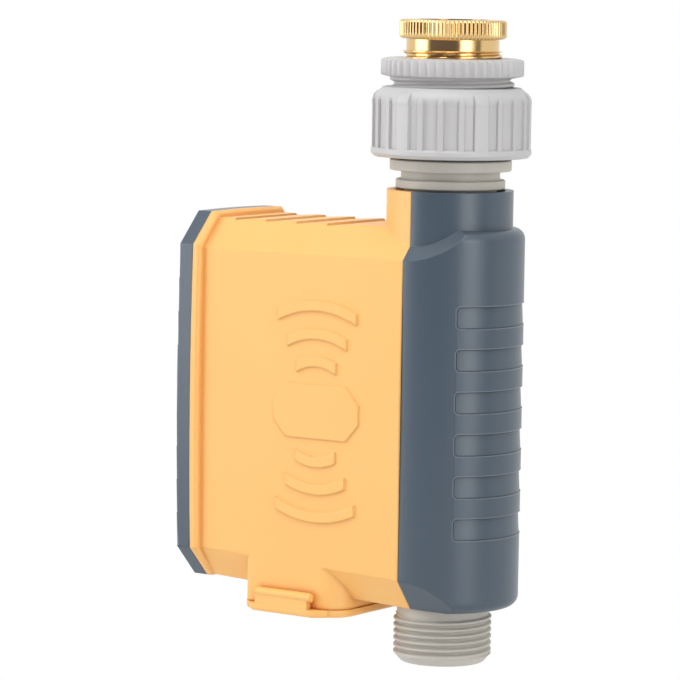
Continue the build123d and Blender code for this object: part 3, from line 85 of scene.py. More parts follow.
def smooth_step(value):
    """Eases a number or an array from 0 to 1."""
    value = np.clip(value, 0, 1)
    return value * value * (3 - 2 * value)


def round_angles(columns):
    """Bearings of the columns of a turned piece."""
    return np.linspace(0, tau, columns, endpoint=False)


def with_outward_faces(mesh, merge_distance=None):
    """Points a closed mesh's faces outward and smooths it, after joining points that coincide."""
    made = bmesh.new()
    made.from_mesh(mesh)
    if merge_distance:
        bmesh.ops.remove_doubles(made, verts=made.verts, dist=merge_distance)
    bmesh.ops.recalc_face_normals(made, faces=made.faces)
    made.to_mesh(mesh)
    made.free()
    mesh.shade_smooth()


def place_in_scene(name, data):
    """Object that holds a mesh, a lamp or a camera."""
    piece = bpy.data.objects.new(name, data)
    bpy.context.scene.collection.objects.link(piece)
    return piece


def turned_piece(name, rows, material, node):
    """Mesh round the Z axis from rows of (radii, height) in millimetres, instead of a CAD node."""
    sharp_from = radians(38)
    columns = max(len(np.atleast_1d(radii)) for radii, height in rows)
    angles = round_angles(columns)
    points = np.empty((len(rows), columns, 3))
    for i, (radii, height) in enumerate(rows):
        points[i, :, 0] = radii * np.cos(angles)
        points[i, :, 1] = radii * np.sin(angles)
        points[i, :, 2] = height
    first = np.arange(len(rows) * columns).reshape(len(rows), columns)
    below = np.roll(first, -1, axis=0)
    corners = [first, np.roll(first, -1, axis=1), np.roll(below, -1, axis=1), below]
    faces = np.stack(corners, axis=-1)
    mesh = bpy.data.meshes.new(name)
    mesh.from_pydata((points.reshape(-1, 3) * MM).tolist(), [], faces.reshape(-1, 4).tolist())
    with_outward_faces(mesh, merge_distance=1e-7)
    mesh.set_sharp_from_angle(angle=sharp_from)
    mesh.materials.append(material)
    piece = place_in_scene(name, mesh)
    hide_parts(node)
    return piece


def inset(radius, profile):
    """Rows from a profile of (distance inside a radius, height)."""
    return [(radius - inward, height) for inward, height in profile]


def screw_rows(columns, crest, top, foot, pitch, depth, run_out, phase=0.0, from_root=False):
    """Rows of a right-hand thread with rounded roots, which fades out at both ends.

    At its first end it fades to its crests, or to its roots where it rises out of a plain pipe."""
    rows_per_turn, groove_share, flank_share = 14, 0.8, 0.62
    angles = round_angles(columns)
    steps = int(abs(top - foot) / pitch * rows_per_turn) + 2
    rows = []
    for height in np.linspace(top, foot, steps):
        turn = (height / pitch - angles / tau + phase) % 1
        valley = smooth_step((groove_share - np.abs(turn - 0.5) * 2) / flank_share)
        start = smooth_step((top - height) / run_out)
        share = 1 - (1 - valley) * start if from_root else valley * start
        end = smooth_step((height - foot) / run_out)
        rows.append((crest - depth * share * end, height))
    return rows


def rounded_loop(left, right, foot, top, corner):
    """Points round a rectangle with round corners, each with its outward direction."""
    corner_steps, level_steps = 8, 40
    loop = []
    corners = ((right, top, -1, -1), (left, top, 1, -1), (left, foot, 1, 1), (right, foot, -1, 1))
    for quarter, (x, y, inward_x, inward_y) in enumerate(corners):
        for k in range(corner_steps + 1):
            angle = (quarter + k / corner_steps) * pi / 2
            loop.append((x + inward_x * corner + cos(angle) * corner,
                         y + inward_y * corner + sin(angle) * corner, cos(angle), sin(angle)))
        if y != corners[(quarter + 1) % 4][1]:
            continue
        # The level sides bend round the housing, so they need points along them
        next_x = left + corner if quarter == 0 else right - corner
        here_x, here_y, out_x, out_y = loop[-1]
        for k in range(1, level_steps):
            loop.append((here_x + (next_x - here_x) * k / level_steps, here_y, out_x, out_y))
    return loop


def finish_of(node, material):
    """Gives a CAD node's slots one finish."""
    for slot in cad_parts[node].material_slots:
        slot.material = material


# Tools that every finish uses

def new_finish(name):
    """Empty material, with its node tree."""
    material = bpy.data.materials.new(name)
    material.use_nodes = True
    material.node_tree.nodes.clear()
    return material, material.node_tree


def add_node(tree, kind, inputs=None, **settings):
    """Adds a node; each input is a value, or a socket of another node to link."""
    node = tree.nodes.new(kind)
    for name, value in settings.items():
        setattr(node, name, value)
    for name, value in (inputs or {}).items():
        if isinstance(value, bpy.types.NodeSocket):
            tree.links.new(value, node.inputs[name])
        else:
            node.inputs[name].default_value = value
    return node


def surface(tree, shader):
    """Links a shader to a new output."""
    add_node(tree, "ShaderNodeOutputMaterial", {"Surface": shader})


def principled(tree, inputs):
    """Finishes a material with a principled surface."""
    surface(tree, add_node(tree, "ShaderNodeBsdfPrincipled", inputs).outputs["BSDF"])


def object_place(tree):
    """Place in the piece's own coordinates, in metres."""
    return add_node(tree, "ShaderNodeTexCoord").outputs["Object"]


def along_axis(tree, place, axis):
    """One coordinate of a place."""
    return add_node(tree, "ShaderNodeSeparateXYZ", {"Vector": place}).outputs[axis]


def noise(tree, place, size_mm, detail, roughness=0.5):
    """Noise whose grains are that many millimetres wide."""
    texture = add_node(tree, "ShaderNodeTexNoise", {
        "Vector": place, "Scale": 1 / (size_mm * MM), "Detail": detail, "Roughness": roughness})
    return texture.outputs["Fac"]


def mapped(tree, value, inputs, **settings):
    """Value spread over another range."""
    node = add_node(tree, "ShaderNodeMapRange", {"Value": value, **inputs}, **settings)
    return node.outputs["Result"]


def maths(tree, operation, first, second):
    """Sum, product or other result of two values."""
    return add_node(tree, "ShaderNodeMath", {0: first, 1: second}, operation=operation).outputs[0]


def mixed(tree, share, first, second):
    """Colour between two colours."""
    node = add_node(tree, "ShaderNodeMix", {0: share, 6: first, 7: second}, data_type="RGBA")
    return node.outputs[2]


def bumped(tree, height, depth_mm, strength, normal=None):
    """Normal over a fine relief."""
    inputs = {"Height": height, "Strength": strength, "Distance": depth_mm * MM}
    if normal:
        inputs["Normal"] = normal
    return add_node(tree, "ShaderNodeBump", inputs).outputs["Normal"]


def where_seen(tree):
    """1 for rays that show a surface directly, mirrored or through a clear piece, and else 0."""
    ray = add_node(tree, "ShaderNodeLightPath").outputs
    seen = maths(tree, "MAXIMUM", ray["Is Camera Ray"], ray["Is Glossy Ray"])
    return maths(tree, "MAXIMUM", seen, ray["Is Transmission Ray"])


# Finishes

def along_housing(tree, place, stops):
    """Value that follows stops of (height above the housing's foot in millimetres, value)."""
    foot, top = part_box("rear_shell")[0][2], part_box("main_case")[1][2]
    share = mapped(tree, along_axis(tree, place, "Z"), {"From Min": foot, "From Max": top})
    ramp = add_node(tree, "ShaderNodeValToRGB", {"Fac": share})
    elements = ramp.color_ramp.elements
    while len(elements) < len(stops):
        elements.new(0.5)
    for element, (height, value) in zip(elements, stops):
        element.position = height * MM / (top - foot)
        element.color = (value, value, value, 1.0)
    return ramp.outputs["Color"]


def soft_ends(tree, place, edge_mm, end_mm):
    """Edge radius in metres: small along the housing's middle and neck, large round its two ends."""
    stops = ((0, 1), (12.5, 1), (16.5, 0), (89, 0), (93, 0.4), (102, 0.4), (103.5, 0))
    return mapped(tree, along_housing(tree, place, stops),
                  {"To Min": edge_mm * MM, "To Max": end_mm * MM})


def painted_shade_at_foot_and_flange(tree, place):
    """Where the case's painted shade goes: 1 at the housing's foot and at its front flange, and 0
    elsewhere.
    """
    flange_back, flange_front = -59 * MM, -61 * MM
    foot = along_housing(tree, place, ((0, 1), (12, 1), (15, 0)))
    flange = mapped(tree, along_axis(tree, place, "Y"),
                    {"From Min": flange_back, "From Max": flange_front})
    return maths(tree, "MAXIMUM", foot, flange)


def moulded_plastic(name, shade, dark, grain_depth, gloss, edge_mm, grain_mm=0.6, index=1.53,
                    end_mm=None, painted_corner_shade=None, reach_mm=2.0, painted_shade_place=None):
    """Injection-moulded plastic: an even colour, a fine spark-eroded grain and soft edges.

    An edge is end_mm round at the housing's two ends. A painted shade of the corner tone darkens
    corners out to reach_mm, and only where the place mask is 1."""
    cloud_mm, gloss_spread = 26, 0.04
    material, tree = new_finish(name)
    place = object_place(tree)
    cloud = noise(tree, place, cloud_mm, detail=3.0, roughness=0.55)
    colour = mixed(tree, cloud, linear(dark), linear(shade))
    if painted_corner_shade:
        # Painted shade: occlusion mixes corners towards a deeper tone, as light bouncing there would
        occlusion = add_node(tree, "ShaderNodeAmbientOcclusion", {"Distance": reach_mm * MM},
                             samples=SHADING_RAYS)
        painted_shade_share = maths(tree, "SUBTRACT", 1.0, occlusion.outputs["AO"])
        if painted_shade_place:
            painted_shade_share = maths(tree, "MULTIPLY", painted_shade_share, painted_shade_place(tree, place))
        colour = mixed(tree, painted_shade_share, colour, linear(painted_corner_shade))
    grain = noise(tree, place, grain_mm, detail=2.0)
    radius = soft_ends(tree, place, edge_mm, end_mm) if end_mm else edge_mm * MM
    edges = add_node(tree, "ShaderNodeBevel", {"Radius": radius}, samples=SHADING_RAYS)
    principled(tree, {
        "Base Color": colour, "IOR": index,
        "Roughness": mapped(tree, grain, {"To Min": gloss - gloss_spread,
                                          "To Max": gloss + gloss_spread}),
        "Normal": bumped(tree, grain, grain_depth, strength=0.5,
                         normal=edges.outputs["Normal"])})
    return material


def grey_plastic(look):
    """Grey plastic of the nut and the reducer, made once and shared."""
    name = "moulded_grey_abs"
    found = bpy.data.materials.get(name)
    # Painted shade darkens the corners and the gaps between the ribs
    return found or moulded_plastic(
        name, look.nut, look.nut_dark, grain_mm=0.5, grain_depth=0.02, gloss=0.42, edge_mm=0.6,
        painted_corner_shade=look.nut_painted_shade, reach_mm=1.6)


def polished_brass(look):
    """Turned and polished brass: fine lathe rings across a warm mirror."""
    # Lathe feed marks are about 0.1 mm apart, drawn wider so that they show
    ring_mm, ring_depth_mm, smear_mm = 0.3, 0.004, 6
    material, tree = new_finish("polished_turned_brass")
    place = object_place(tree)
    along = add_node(tree, "ShaderNodeCombineXYZ", {"Z": along_axis(tree, place, "Z")})
    rings = noise(tree, along.outputs["Vector"], ring_mm, detail=2.0)
    smear = noise(tree, place, smear_mm, detail=4.0)
    principled(tree, {
        "Base Color": linear(look.brass), "Metallic": 1.0,
        "Roughness": mapped(tree, smear, {"To Min": 0.12, "To Max": 0.24}),
        "Normal": bumped(tree, rings, ring_depth_mm, strength=0.35)})
    return material


def sheet_steel(name, shade, roughness):
    """Rolled or turned steel with faint streaks."""
    streak_mm, smoother, rougher = 0.8, 0.06, 0.08
    material, tree = new_finish(name)
    stretch = add_node(tree, "ShaderNodeMapping", {
        "Vector": object_place(tree), "Scale": (1.0, 1.0, 8.0)})
    streaks = noise(tree, stretch.outputs["Vector"], streak_mm, detail=3.0)
    principled(tree, {
        "Base Color": linear(shade), "Metallic": 1.0,
        "Roughness": mapped(tree, streaks, {"To Min": roughness - smoother,
                                            "To Max": roughness + rougher})})
    return material


def moulded_rubber():
    """Black EPDM: matt, with a faint talc bloom."""
    bloom_mm, bloom_depth_mm = 1.5, 0.02
    material, tree = new_finish("moulded_epdm_rubber")
    bloom = noise(tree, object_place(tree), bloom_mm, detail=4.0)
    principled(tree, {
        "Base Color": mixed(tree, bloom, linear("#17181A"), linear("#2B2C2E")),
        "Roughness": 0.72, "IOR": 1.5,
        "Normal": bumped(tree, bloom, bloom_depth_mm, strength=0.3)})
    return material


def board_laminate():
    """Green solder resist over the weave of its glass cloth."""
    weave_mm = 0.7
    material, tree = new_finish("coated_board_laminate")
    weave = add_node(tree, "ShaderNodeTexBrick", {
        "Vector": object_place(tree), "Scale": 1 / (weave_mm * MM), "Mortar Size": 0.05,
        "Color1": linear("#17502B"), "Color2": linear("#1C5A31"), "Mortar": linear("#12401F")})
    principled(tree, {
        "Base Color": weave.outputs["Color"], "Roughness": 0.35, "IOR": 1.5, "Coat Weight": 0.3,
        "Coat Roughness": 0.15})
    return material


def cell_sleeve():
    """Shrink sleeve of the cells: charcoal, with one coppery band at the top."""
    band_mm, blur_mm = 14.0, 0.2
    material, tree = new_finish("shrunk_pvc_sleeve")
    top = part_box("batteries")[1][2]
    band = mapped(tree, along_axis(tree, object_place(tree), "Z"), {
        "From Min": top - (band_mm + blur_mm) * MM, "From Max": top - band_mm * MM})
    principled(tree, {
        "Base Color": mixed(tree, band, linear("#26282B"), linear("#B9743D")),
        "Roughness": 0.28, "IOR": 1.53})
    return material


def clear_acrylic():
    """Moulded light guide, slightly frosted."""
    material, tree = new_finish("moulded_clear_acrylic")
    principled(tree, {
        "Base Color": linear("#EAF2F3"), "Roughness": 0.12, "IOR": 1.49,
        "Transmission Weight": 0.9})
    return material


# Settings

def millimetres(name, description, default, **limits):
    """Length that can be set in the panel."""
    return FloatProperty(name=name, description=description + ", in millimetres", default=default,
                         **limits)


def hex_colour(name, description, default):
    """Colour that can be set in the panel."""
    return StringProperty(name=name, description=description + ", sRGB hex", default=default)


class TimerThreads(bpy.types.PropertyGroup):
    hose_pitch: millimetres("Hose thread pitch", "Distance between crests", 1.814, min=0.5)
    union_pitch: millimetres("Union thread pitch", "Distance between crests", 2.309, min=0.5)
    thread_depth: FloatProperty(name="Thread depth", description="Depth as a share of the pitch",
                                default=0.5, min=0.1, max=0.65)
    hose_crest: millimetres("Hose thread radius", "Radius over the crests", 13.22)
    union_crest: millimetres("Union thread radius", "Radius over the crests", 16.62)
    knurls: IntProperty(name="Rim knurls", description="Teeth round the brass rim",
                        default=76, min=12)
    knurl_depth: millimetres("Knurl depth", "Depth of the rim's grooves", 0.36, min=0.0, max=0.8)
    scallops: IntProperty(name="Ring scallops", description="Scallops round the reducer's ring",
                          default=48, min=12)
    grips: IntProperty(name="Finger grips", description="Grips down the back shell",
                       default=6, min=1)
    grip_pitch: millimetres("Grip spacing", "Distance between grips", 11.25)
    grip_height: millimetres("Grip height", "Height of a grip", 5.7)
    grip_corner: millimetres("Grip corner", "Radius of its corners", 1.1)


class TimerColours(bpy.types.PropertyGroup):
    case: hex_colour("Case", "Yellow case", "#FBC272")
    case_dark: hex_colour("Case clouds", "Darkest tone of the case", "#F9BC69")
    # Painted shade: deeper tone mixed into the case's and the cover's corners
    case_painted_shade: hex_colour("Case crevices", "Tone in the case's corners", "#E08A35")
    shell: hex_colour("Shell", "Slate shell", "#43525F")
    shell_dark: hex_colour("Shell clouds", "Darkest tone of the shell", "#404F5C")
    # Painted shade: dark tone mixed into the shell's corners and laid on the grips' roots
    shell_painted_shade: hex_colour("Shell crevices", "Tone in the shell's corners", "#232C35")
    # Painted highlight: a lighter tone that draws a light line round each grip
    painted_lip_highlight: hex_colour("Grip lips", "Polished lip round each grip", "#5C6976")
    nut: hex_colour("Nut", "Swivel nut and reducer", "#C5C4C4")
    nut_dark: hex_colour("Nut clouds", "Darkest tone of the nut", "#BFBEBE")
    # Painted shade: deeper grey mixed in between the nut's ribs and in the reducer's corners
    nut_painted_shade: hex_colour("Nut crevices", "Tone between the nut's ribs", "#B8B6B4")
    pipe: hex_colour("Pipe", "Inlet and outlet", "#C3BFB5")
    pipe_dark: hex_colour("Pipe clouds", "Darkest tone of the pipe", "#BBB7AD")
    # Painted shade: darker tone mixed into the outlet's thread and the valve body's corners
    pipe_painted_shade: hex_colour("Pipe crevices", "Tone in the outlet's thread", "#A39E95")
    brass: hex_colour("Brass", "Tap adapter", "#E0BE85")


# Operators, one for each piece or group of like pieces. Lengths are in millimetres, and heights
# count from the tap adapter's mouth.

class TIMER_OT_tap_adapter(bpy.types.Operator):
    """Turn the brass tap adapter, with its knurled rim and both threads"""
    bl_idname = "timer.tap_adapter"
    bl_label = "Tap adapter"

    columns_per_knurl = 10
    # Profiles of (distance inside the rim or its knurl, height)
    rim_top = ((0.9, 0), (0.55, -0.12))
    knurl_side = ((0.1, -0.5), (0, -0.75), (0, -4.3), (0.1, -4.6))
    rim_foot = ((0.6, -5.0), (0.9, -5.1))
    # Profiles of (radius, height)
    neck = [(12.55, -5.1), (12.4, -5.25), (12.4, -8.15), (12.6, -8.3), (13.0, -8.3)]
    washer_seat = [(7.0, -11.0), (9.9, -11.0), (9.9, -8.9), (9.32, -8.9)]
    bore_r = 9.32
    chamfer = 0.5
    # Female thread for the tap
    tap_thread_r, tap_pitch, tap_depth = 9.34, 1.814, 0.8
    tap_top, tap_foot = -1.1, -8.6
    lead_in_foot = -0.6

    def execute(self, context):
        sizes, look = context.scene.timer_threads, context.scene.timer_colours
        columns = sizes.knurls * self.columns_per_knurl
        ripple = (1 - np.cos(round_angles(columns) * sizes.knurls)) / 2
        low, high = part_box("brass_tap_adapter")
        rim, foot = high[0] / MM, low[2] / MM
        depth = sizes.hose_pitch * sizes.thread_depth
        rows = [(self.bore_r, 0)]
        rows += inset(rim, self.rim_top)
        rows += inset(rim - sizes.knurl_depth * ripple, self.knurl_side)
        rows += inset(rim, self.rim_foot)
        rows += self.neck
        rows += screw_rows(columns, sizes.hose_crest, self.neck[-1][1], foot + self.chamfer,
                           sizes.hose_pitch, depth, run_out=0.5, phase=0.576)
        rows += [(sizes.hose_crest - self.chamfer, foot), (self.washer_seat[0][0], foot)]
        rows += self.washer_seat
        tap_thread = screw_rows(columns, self.tap_thread_r, self.tap_top, self.tap_foot,
                                self.tap_pitch, -self.tap_depth, run_out=0.6)
        rows += tap_thread[::-1] + [(self.bore_r, self.lead_in_foot)]
        piece = turned_piece("tap_adapter_knurled", rows, polished_brass(look), "brass_tap_adapter")
        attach(piece, "adapter")
        return {"FINISHED"}


class TIMER_OT_reducer(bpy.types.Operator):
    """Mould the thread reducer, with its scalloped ring and both threads"""
    bl_idname = "timer.reducer"
    bl_label = "Thread reducer"

    columns_per_scallop = 16
    scallop_depth = 0.72
    ring_height = 5.0
    # Ring's edge as a profile of (distance inside the ring, or inside its scallops, depth)
    flat_side, round_side = ((1.9, 0), (1.5, 0.1)), ((0.25, 0.35), (0, 0.8))
    shoulder_r, neck_r = 17.0, 15.9
    bore_r, waterway_r, floor = 13.32, 8.5, -21.2
    chamfer = 0.5
    # Plain length between each thread's end and the face next to it
    union_lead, inner_lead, inner_relief = 0.4, 0.6, 2.4

    def execute(self, context):
        sizes, look = context.scene.timer_threads, context.scene.timer_colours
        columns = sizes.scallops * self.columns_per_scallop
        low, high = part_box("thread_reducer")
        ring_r, top, foot = high[0] / MM, high[2] / MM, low[2] / MM
        lobe = np.abs(np.cos(round_angles(columns) * sizes.scallops / 2))
        edge = ring_r - self.scallop_depth * (1 - lobe ** 1.5)
        ring_foot = top - self.ring_height
        hose_depth = sizes.hose_pitch * sizes.thread_depth
        union_depth = sizes.union_pitch * sizes.thread_depth
        rows = [(self.bore_r, top)]
        rows += self.ring_face(ring_r, edge, top, -1)
        rows += self.ring_face(ring_r, edge, ring_foot, 1)[::-1]
        rows += [(self.shoulder_r, ring_foot), (self.neck_r, ring_foot)]
        rows += screw_rows(columns, sizes.union_crest, ring_foot, foot + self.union_lead,
                           sizes.union_pitch, union_depth, run_out=0.5, phase=0.7)
        inner_foot = self.floor + self.inner_relief
        rows += [(sizes.union_crest - self.chamfer, foot), (self.waterway_r, foot),
                 (self.waterway_r, self.floor), (self.bore_r, self.floor), (self.bore_r, inner_foot)]
        inner = screw_rows(columns, self.bore_r, top - self.inner_lead, inner_foot,
                           sizes.hose_pitch, hose_depth, run_out=0.7, phase=0.5)
        rows += inner[::-1]
        piece = turned_piece("reducer_scalloped", rows, grey_plastic(look), "thread_reducer")
        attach(piece, "reducer")
        return {"FINISHED"}

    def ring_face(self, ring_r, edge, face, way):
        """Rows from the ring's flat face round to its scalloped side; way is -1 down or 1 up."""
        sides = [(ring_r, self.flat_side), (edge, self.round_side)]
        return [(radius - inward, face + way * depth)
                for radius, side in sides for inward, depth in side]


class TIMER_OT_pipe(bpy.types.Operator):
    """Mould the outlet with its hose thread, and finish the valve body"""
    bl_idname = "timer.pipe"
    bl_label = "Inlet and outlet"

    columns = 288
    # Spigot in the valve body, with the O-ring's groove halfway down
    waterway_r, spigot_r, groove_r, groove_half = 6.6, 10.32, 8.72, 0.8
    spigot_foot = -112.4
    body_r = 12.4
    # Flange with two flats, which keep the outlet from turning
    flange_r, flat_half, flange_height, flange_over_foot = 16.0, 10.75, 2.0, 2.6
    # Plain length above the thread and below it
    lead_height, thread_gap, thread_over_mouth = 2.0, 0.3, 2.1
    # Profile of (radius, height above the mouth) round the mouth and up the bore
    mouth = ((12.6, 1.5), (11.6, 0.3), (11.2, 0), (9.8, 0), (9.6, 0.2), (9.6, 13.0), (6.6, 16.0))

    def execute(self, context):
        sizes, look = context.scene.timer_threads, context.scene.timer_colours
        # Painted shade darkens the thread's grooves and the valve body's corners
        plastic = moulded_plastic(
            "moulded_glass_filled_nylon", look.pipe, look.pipe_dark, grain_mm=0.45, grain_depth=0.03,
            gloss=0.46, edge_mm=0.25, painted_corner_shade=look.pipe_painted_shade, reach_mm=1.2)
        finish_of("valve_body", plastic)
        low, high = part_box("outlet_fitting")
        case_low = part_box("rear_shell")[0][2] / MM
        top, foot = high[2] / MM, low[2] / MM
        flats = self.flat_half / np.maximum(np.abs(np.cos(round_angles(self.columns))), 0.01)
        flange = np.maximum(np.minimum(self.flange_r, flats), self.body_r)
        flange_foot = case_low + self.flange_over_foot
        flange_top = flange_foot + self.flange_height
        groove = (top + self.spigot_foot) / 2
        groove_top, groove_foot = groove + self.groove_half, groove - self.groove_half
        lead_foot = case_low - self.lead_height
        depth = sizes.hose_pitch * sizes.thread_depth
        rows = [(self.waterway_r, top), (self.spigot_r, top), (self.spigot_r, groove_top),
                (self.groove_r, groove_top), (self.groove_r, groove_foot),
                (self.spigot_r, groove_foot), (self.spigot_r, self.spigot_foot),
                (self.body_r, self.spigot_foot), (self.body_r, flange_top), (flange, flange_top),
                (flange, flange_foot), (self.body_r, flange_foot),
                (sizes.hose_crest - depth, lead_foot)]
        rows += screw_rows(self.columns, sizes.hose_crest, lead_foot - self.thread_gap,
                           foot + self.thread_over_mouth, sizes.hose_pitch, depth, run_out=0.8,
                           phase=0.6, from_root=True)
        rows += [(radius, foot + height) for radius, height in self.mouth]
        piece = turned_piece("outlet_threaded", rows, plastic, "outlet_fitting")
        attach(piece, "housing")
        return {"FINISHED"}


class TIMER_OT_nut(bpy.types.Operator):
    """Finish the ribbed swivel nut"""
    bl_idname = "timer.nut"
    bl_label = "Swivel nut"

    def execute(self, context):
        finish_of("swivel_nut", grey_plastic(context.scene.timer_colours))
        return {"FINISHED"}


class TIMER_OT_housing(bpy.types.Operator):
    """Finish the yellow case, its battery cover and the slate shells"""
    bl_idname = "timer.housing"
    bl_label = "Housing"

    slate_index = 1.6
    # Grips: the first one's top, and their two ends as bearings from the housing's right side
    grips_top = -75.0
    grip_bearings = (40, 140)
    # Depth of a grip's floor below the shell at its foot, and how much more at its top
    floor_depth, floor_slope = 0.15, 0.3
    # How far the lip's foot lies inside the shell
    lip_sunk = 0.03
    # Across the lip: how far outside the grip's edge, and how high over the shell or grip's floor
    over_shell = ((0.5, -0.7), (0.4, -0.03), (0.3, 0.07), (0.18, 0.11), (0.06, 0.07), (0, -0.04))
    over_floor = ((-0.05, 0.03), (-0.35, -0.04), (-0.4, -0.6))

    def execute(self, context):
        look = context.scene.timer_colours
        # Painted shade darkens the case's corners at its foot and flange, and all the cover's
        # corners
        case = moulded_plastic(
            "moulded_yellow_abs", look.case, look.case_dark, grain_depth=0.02, gloss=0.43,
            edge_mm=0.7, end_mm=1.3, painted_corner_shade=look.case_painted_shade, painted_shade_place=painted_shade_at_foot_and_flange)
        cover = moulded_plastic(
            "moulded_yellow_abs_cover", look.case, look.case_dark, grain_depth=0.02, gloss=0.43,
            edge_mm=0.6, painted_corner_shade=look.case_painted_shade)
        # Painted shade darkens the slate shells' corners
        shell = moulded_plastic(
            "moulded_slate_abs", look.shell, look.shell_dark, grain_depth=0.03, gloss=0.33,
            edge_mm=0.2, end_mm=1.0, index=self.slate_index, painted_corner_shade=look.shell_painted_shade)
        for material, nodes in ((case, ("main_case",)),
                                (cover, ("battery_cover", "push_button")),
                                (shell, ("rear_shell", "front_panel"))):
            for node in nodes:
                finish_of(node, material)
        self.grip_lips(context)
        return {"FINISHED"}

    def grip_lips(self, context):
        """Thin moulded lip round each finger grip, painted lighter as a highlight, and the root
        inside it, painted darker as shade.
        """
        sizes, look = context.scene.timer_threads, context.scene.timer_colours
        # Painted highlight: each lip is coloured lighter than the shell
        painted_lip_highlight = moulded_plastic("slate_abs_lip_painted_highlight", look.painted_lip_highlight, look.painted_lip_highlight, grain_depth=0.02,
                              gloss=0.3, edge_mm=0.05, index=self.slate_index)
        # Painted shade: the root inside each lip takes the shell's dark shade tone
        painted_root_shade = moulded_plastic("slate_abs_grip_root_painted_shade", look.shell_painted_shade, look.shell_painted_shade,
                               grain_depth=0.02, gloss=0.4, edge_mm=0.05)
        for i in range(sizes.grips):
            top = self.grips_top - i * sizes.grip_pitch
            name = f"grip_lip_{i + 1}"
            mesh = self.lip_mesh(name, sizes, top - sizes.grip_height, top)
            mesh.materials.append(painted_lip_highlight)
            mesh.materials.append(painted_root_shade)
            piece = place_in_scene(name, mesh)
            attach(piece, "housing")

    def lip_mesh(self, name, sizes, foot, top):
        """Closed ring round one grip, bent round the housing's back."""
        back_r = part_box("rear_shell")[1][1] / MM - self.lip_sunk
        start, end = (radians(bearing) * back_r for bearing in self.grip_bearings)
        loop = rounded_loop(start, end, foot, top, sizes.grip_corner)
        across = len(self.over_shell) + len(self.over_floor)
        points, faces, finishes = [], [], []
        for k, (along, height, out_along, out_height) in enumerate(loop):
            rise_share = min(max((height - foot) / (top - foot), 0), 1)
            floor_r = back_r - self.floor_depth - self.floor_slope * rise_share
            profile = [(out, back_r + rise) for out, rise in self.over_shell]
            profile += [(out, floor_r + rise) for out, rise in self.over_floor]
            following = (k + 1) % len(loop)
            for j, (out, radius) in enumerate(profile):
                bearing = (along + out_along * out) / back_r
                points.append((radius * cos(bearing) * MM, radius * sin(bearing) * MM,
                               (height + out_height * out) * MM))
                beside = (j + 1) % across
                faces.append((k * across + j, k * across + beside, following * across + beside,
                              following * across + j))
                # Faces from the grip's edge inward get the painted shade, the rest the painted
                # highlight
                finishes.append(1 if j >= len(self.over_shell) - 1 else 0)
        mesh = bpy.data.meshes.new(name)
        mesh.from_pydata(points, [], faces)
        mesh.polygons.foreach_set("material_index", finishes)
        with_outward_faces(mesh)
        return mesh


class TIMER_OT_workings(bpy.types.Operator):
    """Finish what the housing holds: seals, valve, drive, board and cells"""
    bl_idname = "timer.workings"
    bl_label = "Workings"

    def execute(self, context):
        rubber = moulded_rubber()
        steel = sheet_steel("rolled_spring_steel", "#C3C5C8", 0.32)
        chromed = sheet_steel("chromed_brass_ball", "#E4E6E9", 0.08)
        white = moulded_plastic("moulded_white_acetal", "#E9E8E3", "#E2E1DB", grain_mm=0.5,
                                grain_depth=0.01, gloss=0.35, edge_mm=0.15)
        black = moulded_plastic("moulded_black_nylon", "#2A2B2D", "#232426", grain_mm=0.5,
                                grain_depth=0.02, gloss=0.5, edge_mm=0.15)
        groups = {
            rubber: ("tap_washer", "reducer_washer", "inlet_filter", "outlet_o_ring", "stem_o_rings",
                     "panel_gasket", "cover_gasket"),
            steel: ("nut_clip", "motor_pinion", "gear_motor", "radio_module", "case_screws",
                    "roof_contacts", "hinge_pin", "cover_contacts"),
            chromed: ("valve_ball",),
            white: ("ball_seats", "stem_gear", "valve_cam", "switch_plunger"),
            black: ("gear_bracket", "limit_switches", "tact_switch", "bay_roof"),
            polished_brass(context.scene.timer_colours): ("valve_stem",),
            board_laminate(): ("circuit_board",),
            cell_sleeve(): ("batteries",),
            clear_acrylic(): ("light_guide",),
        }
        for material, nodes in groups.items():
            for node in nodes:
                finish_of(node, material)
        return {"FINISHED"}


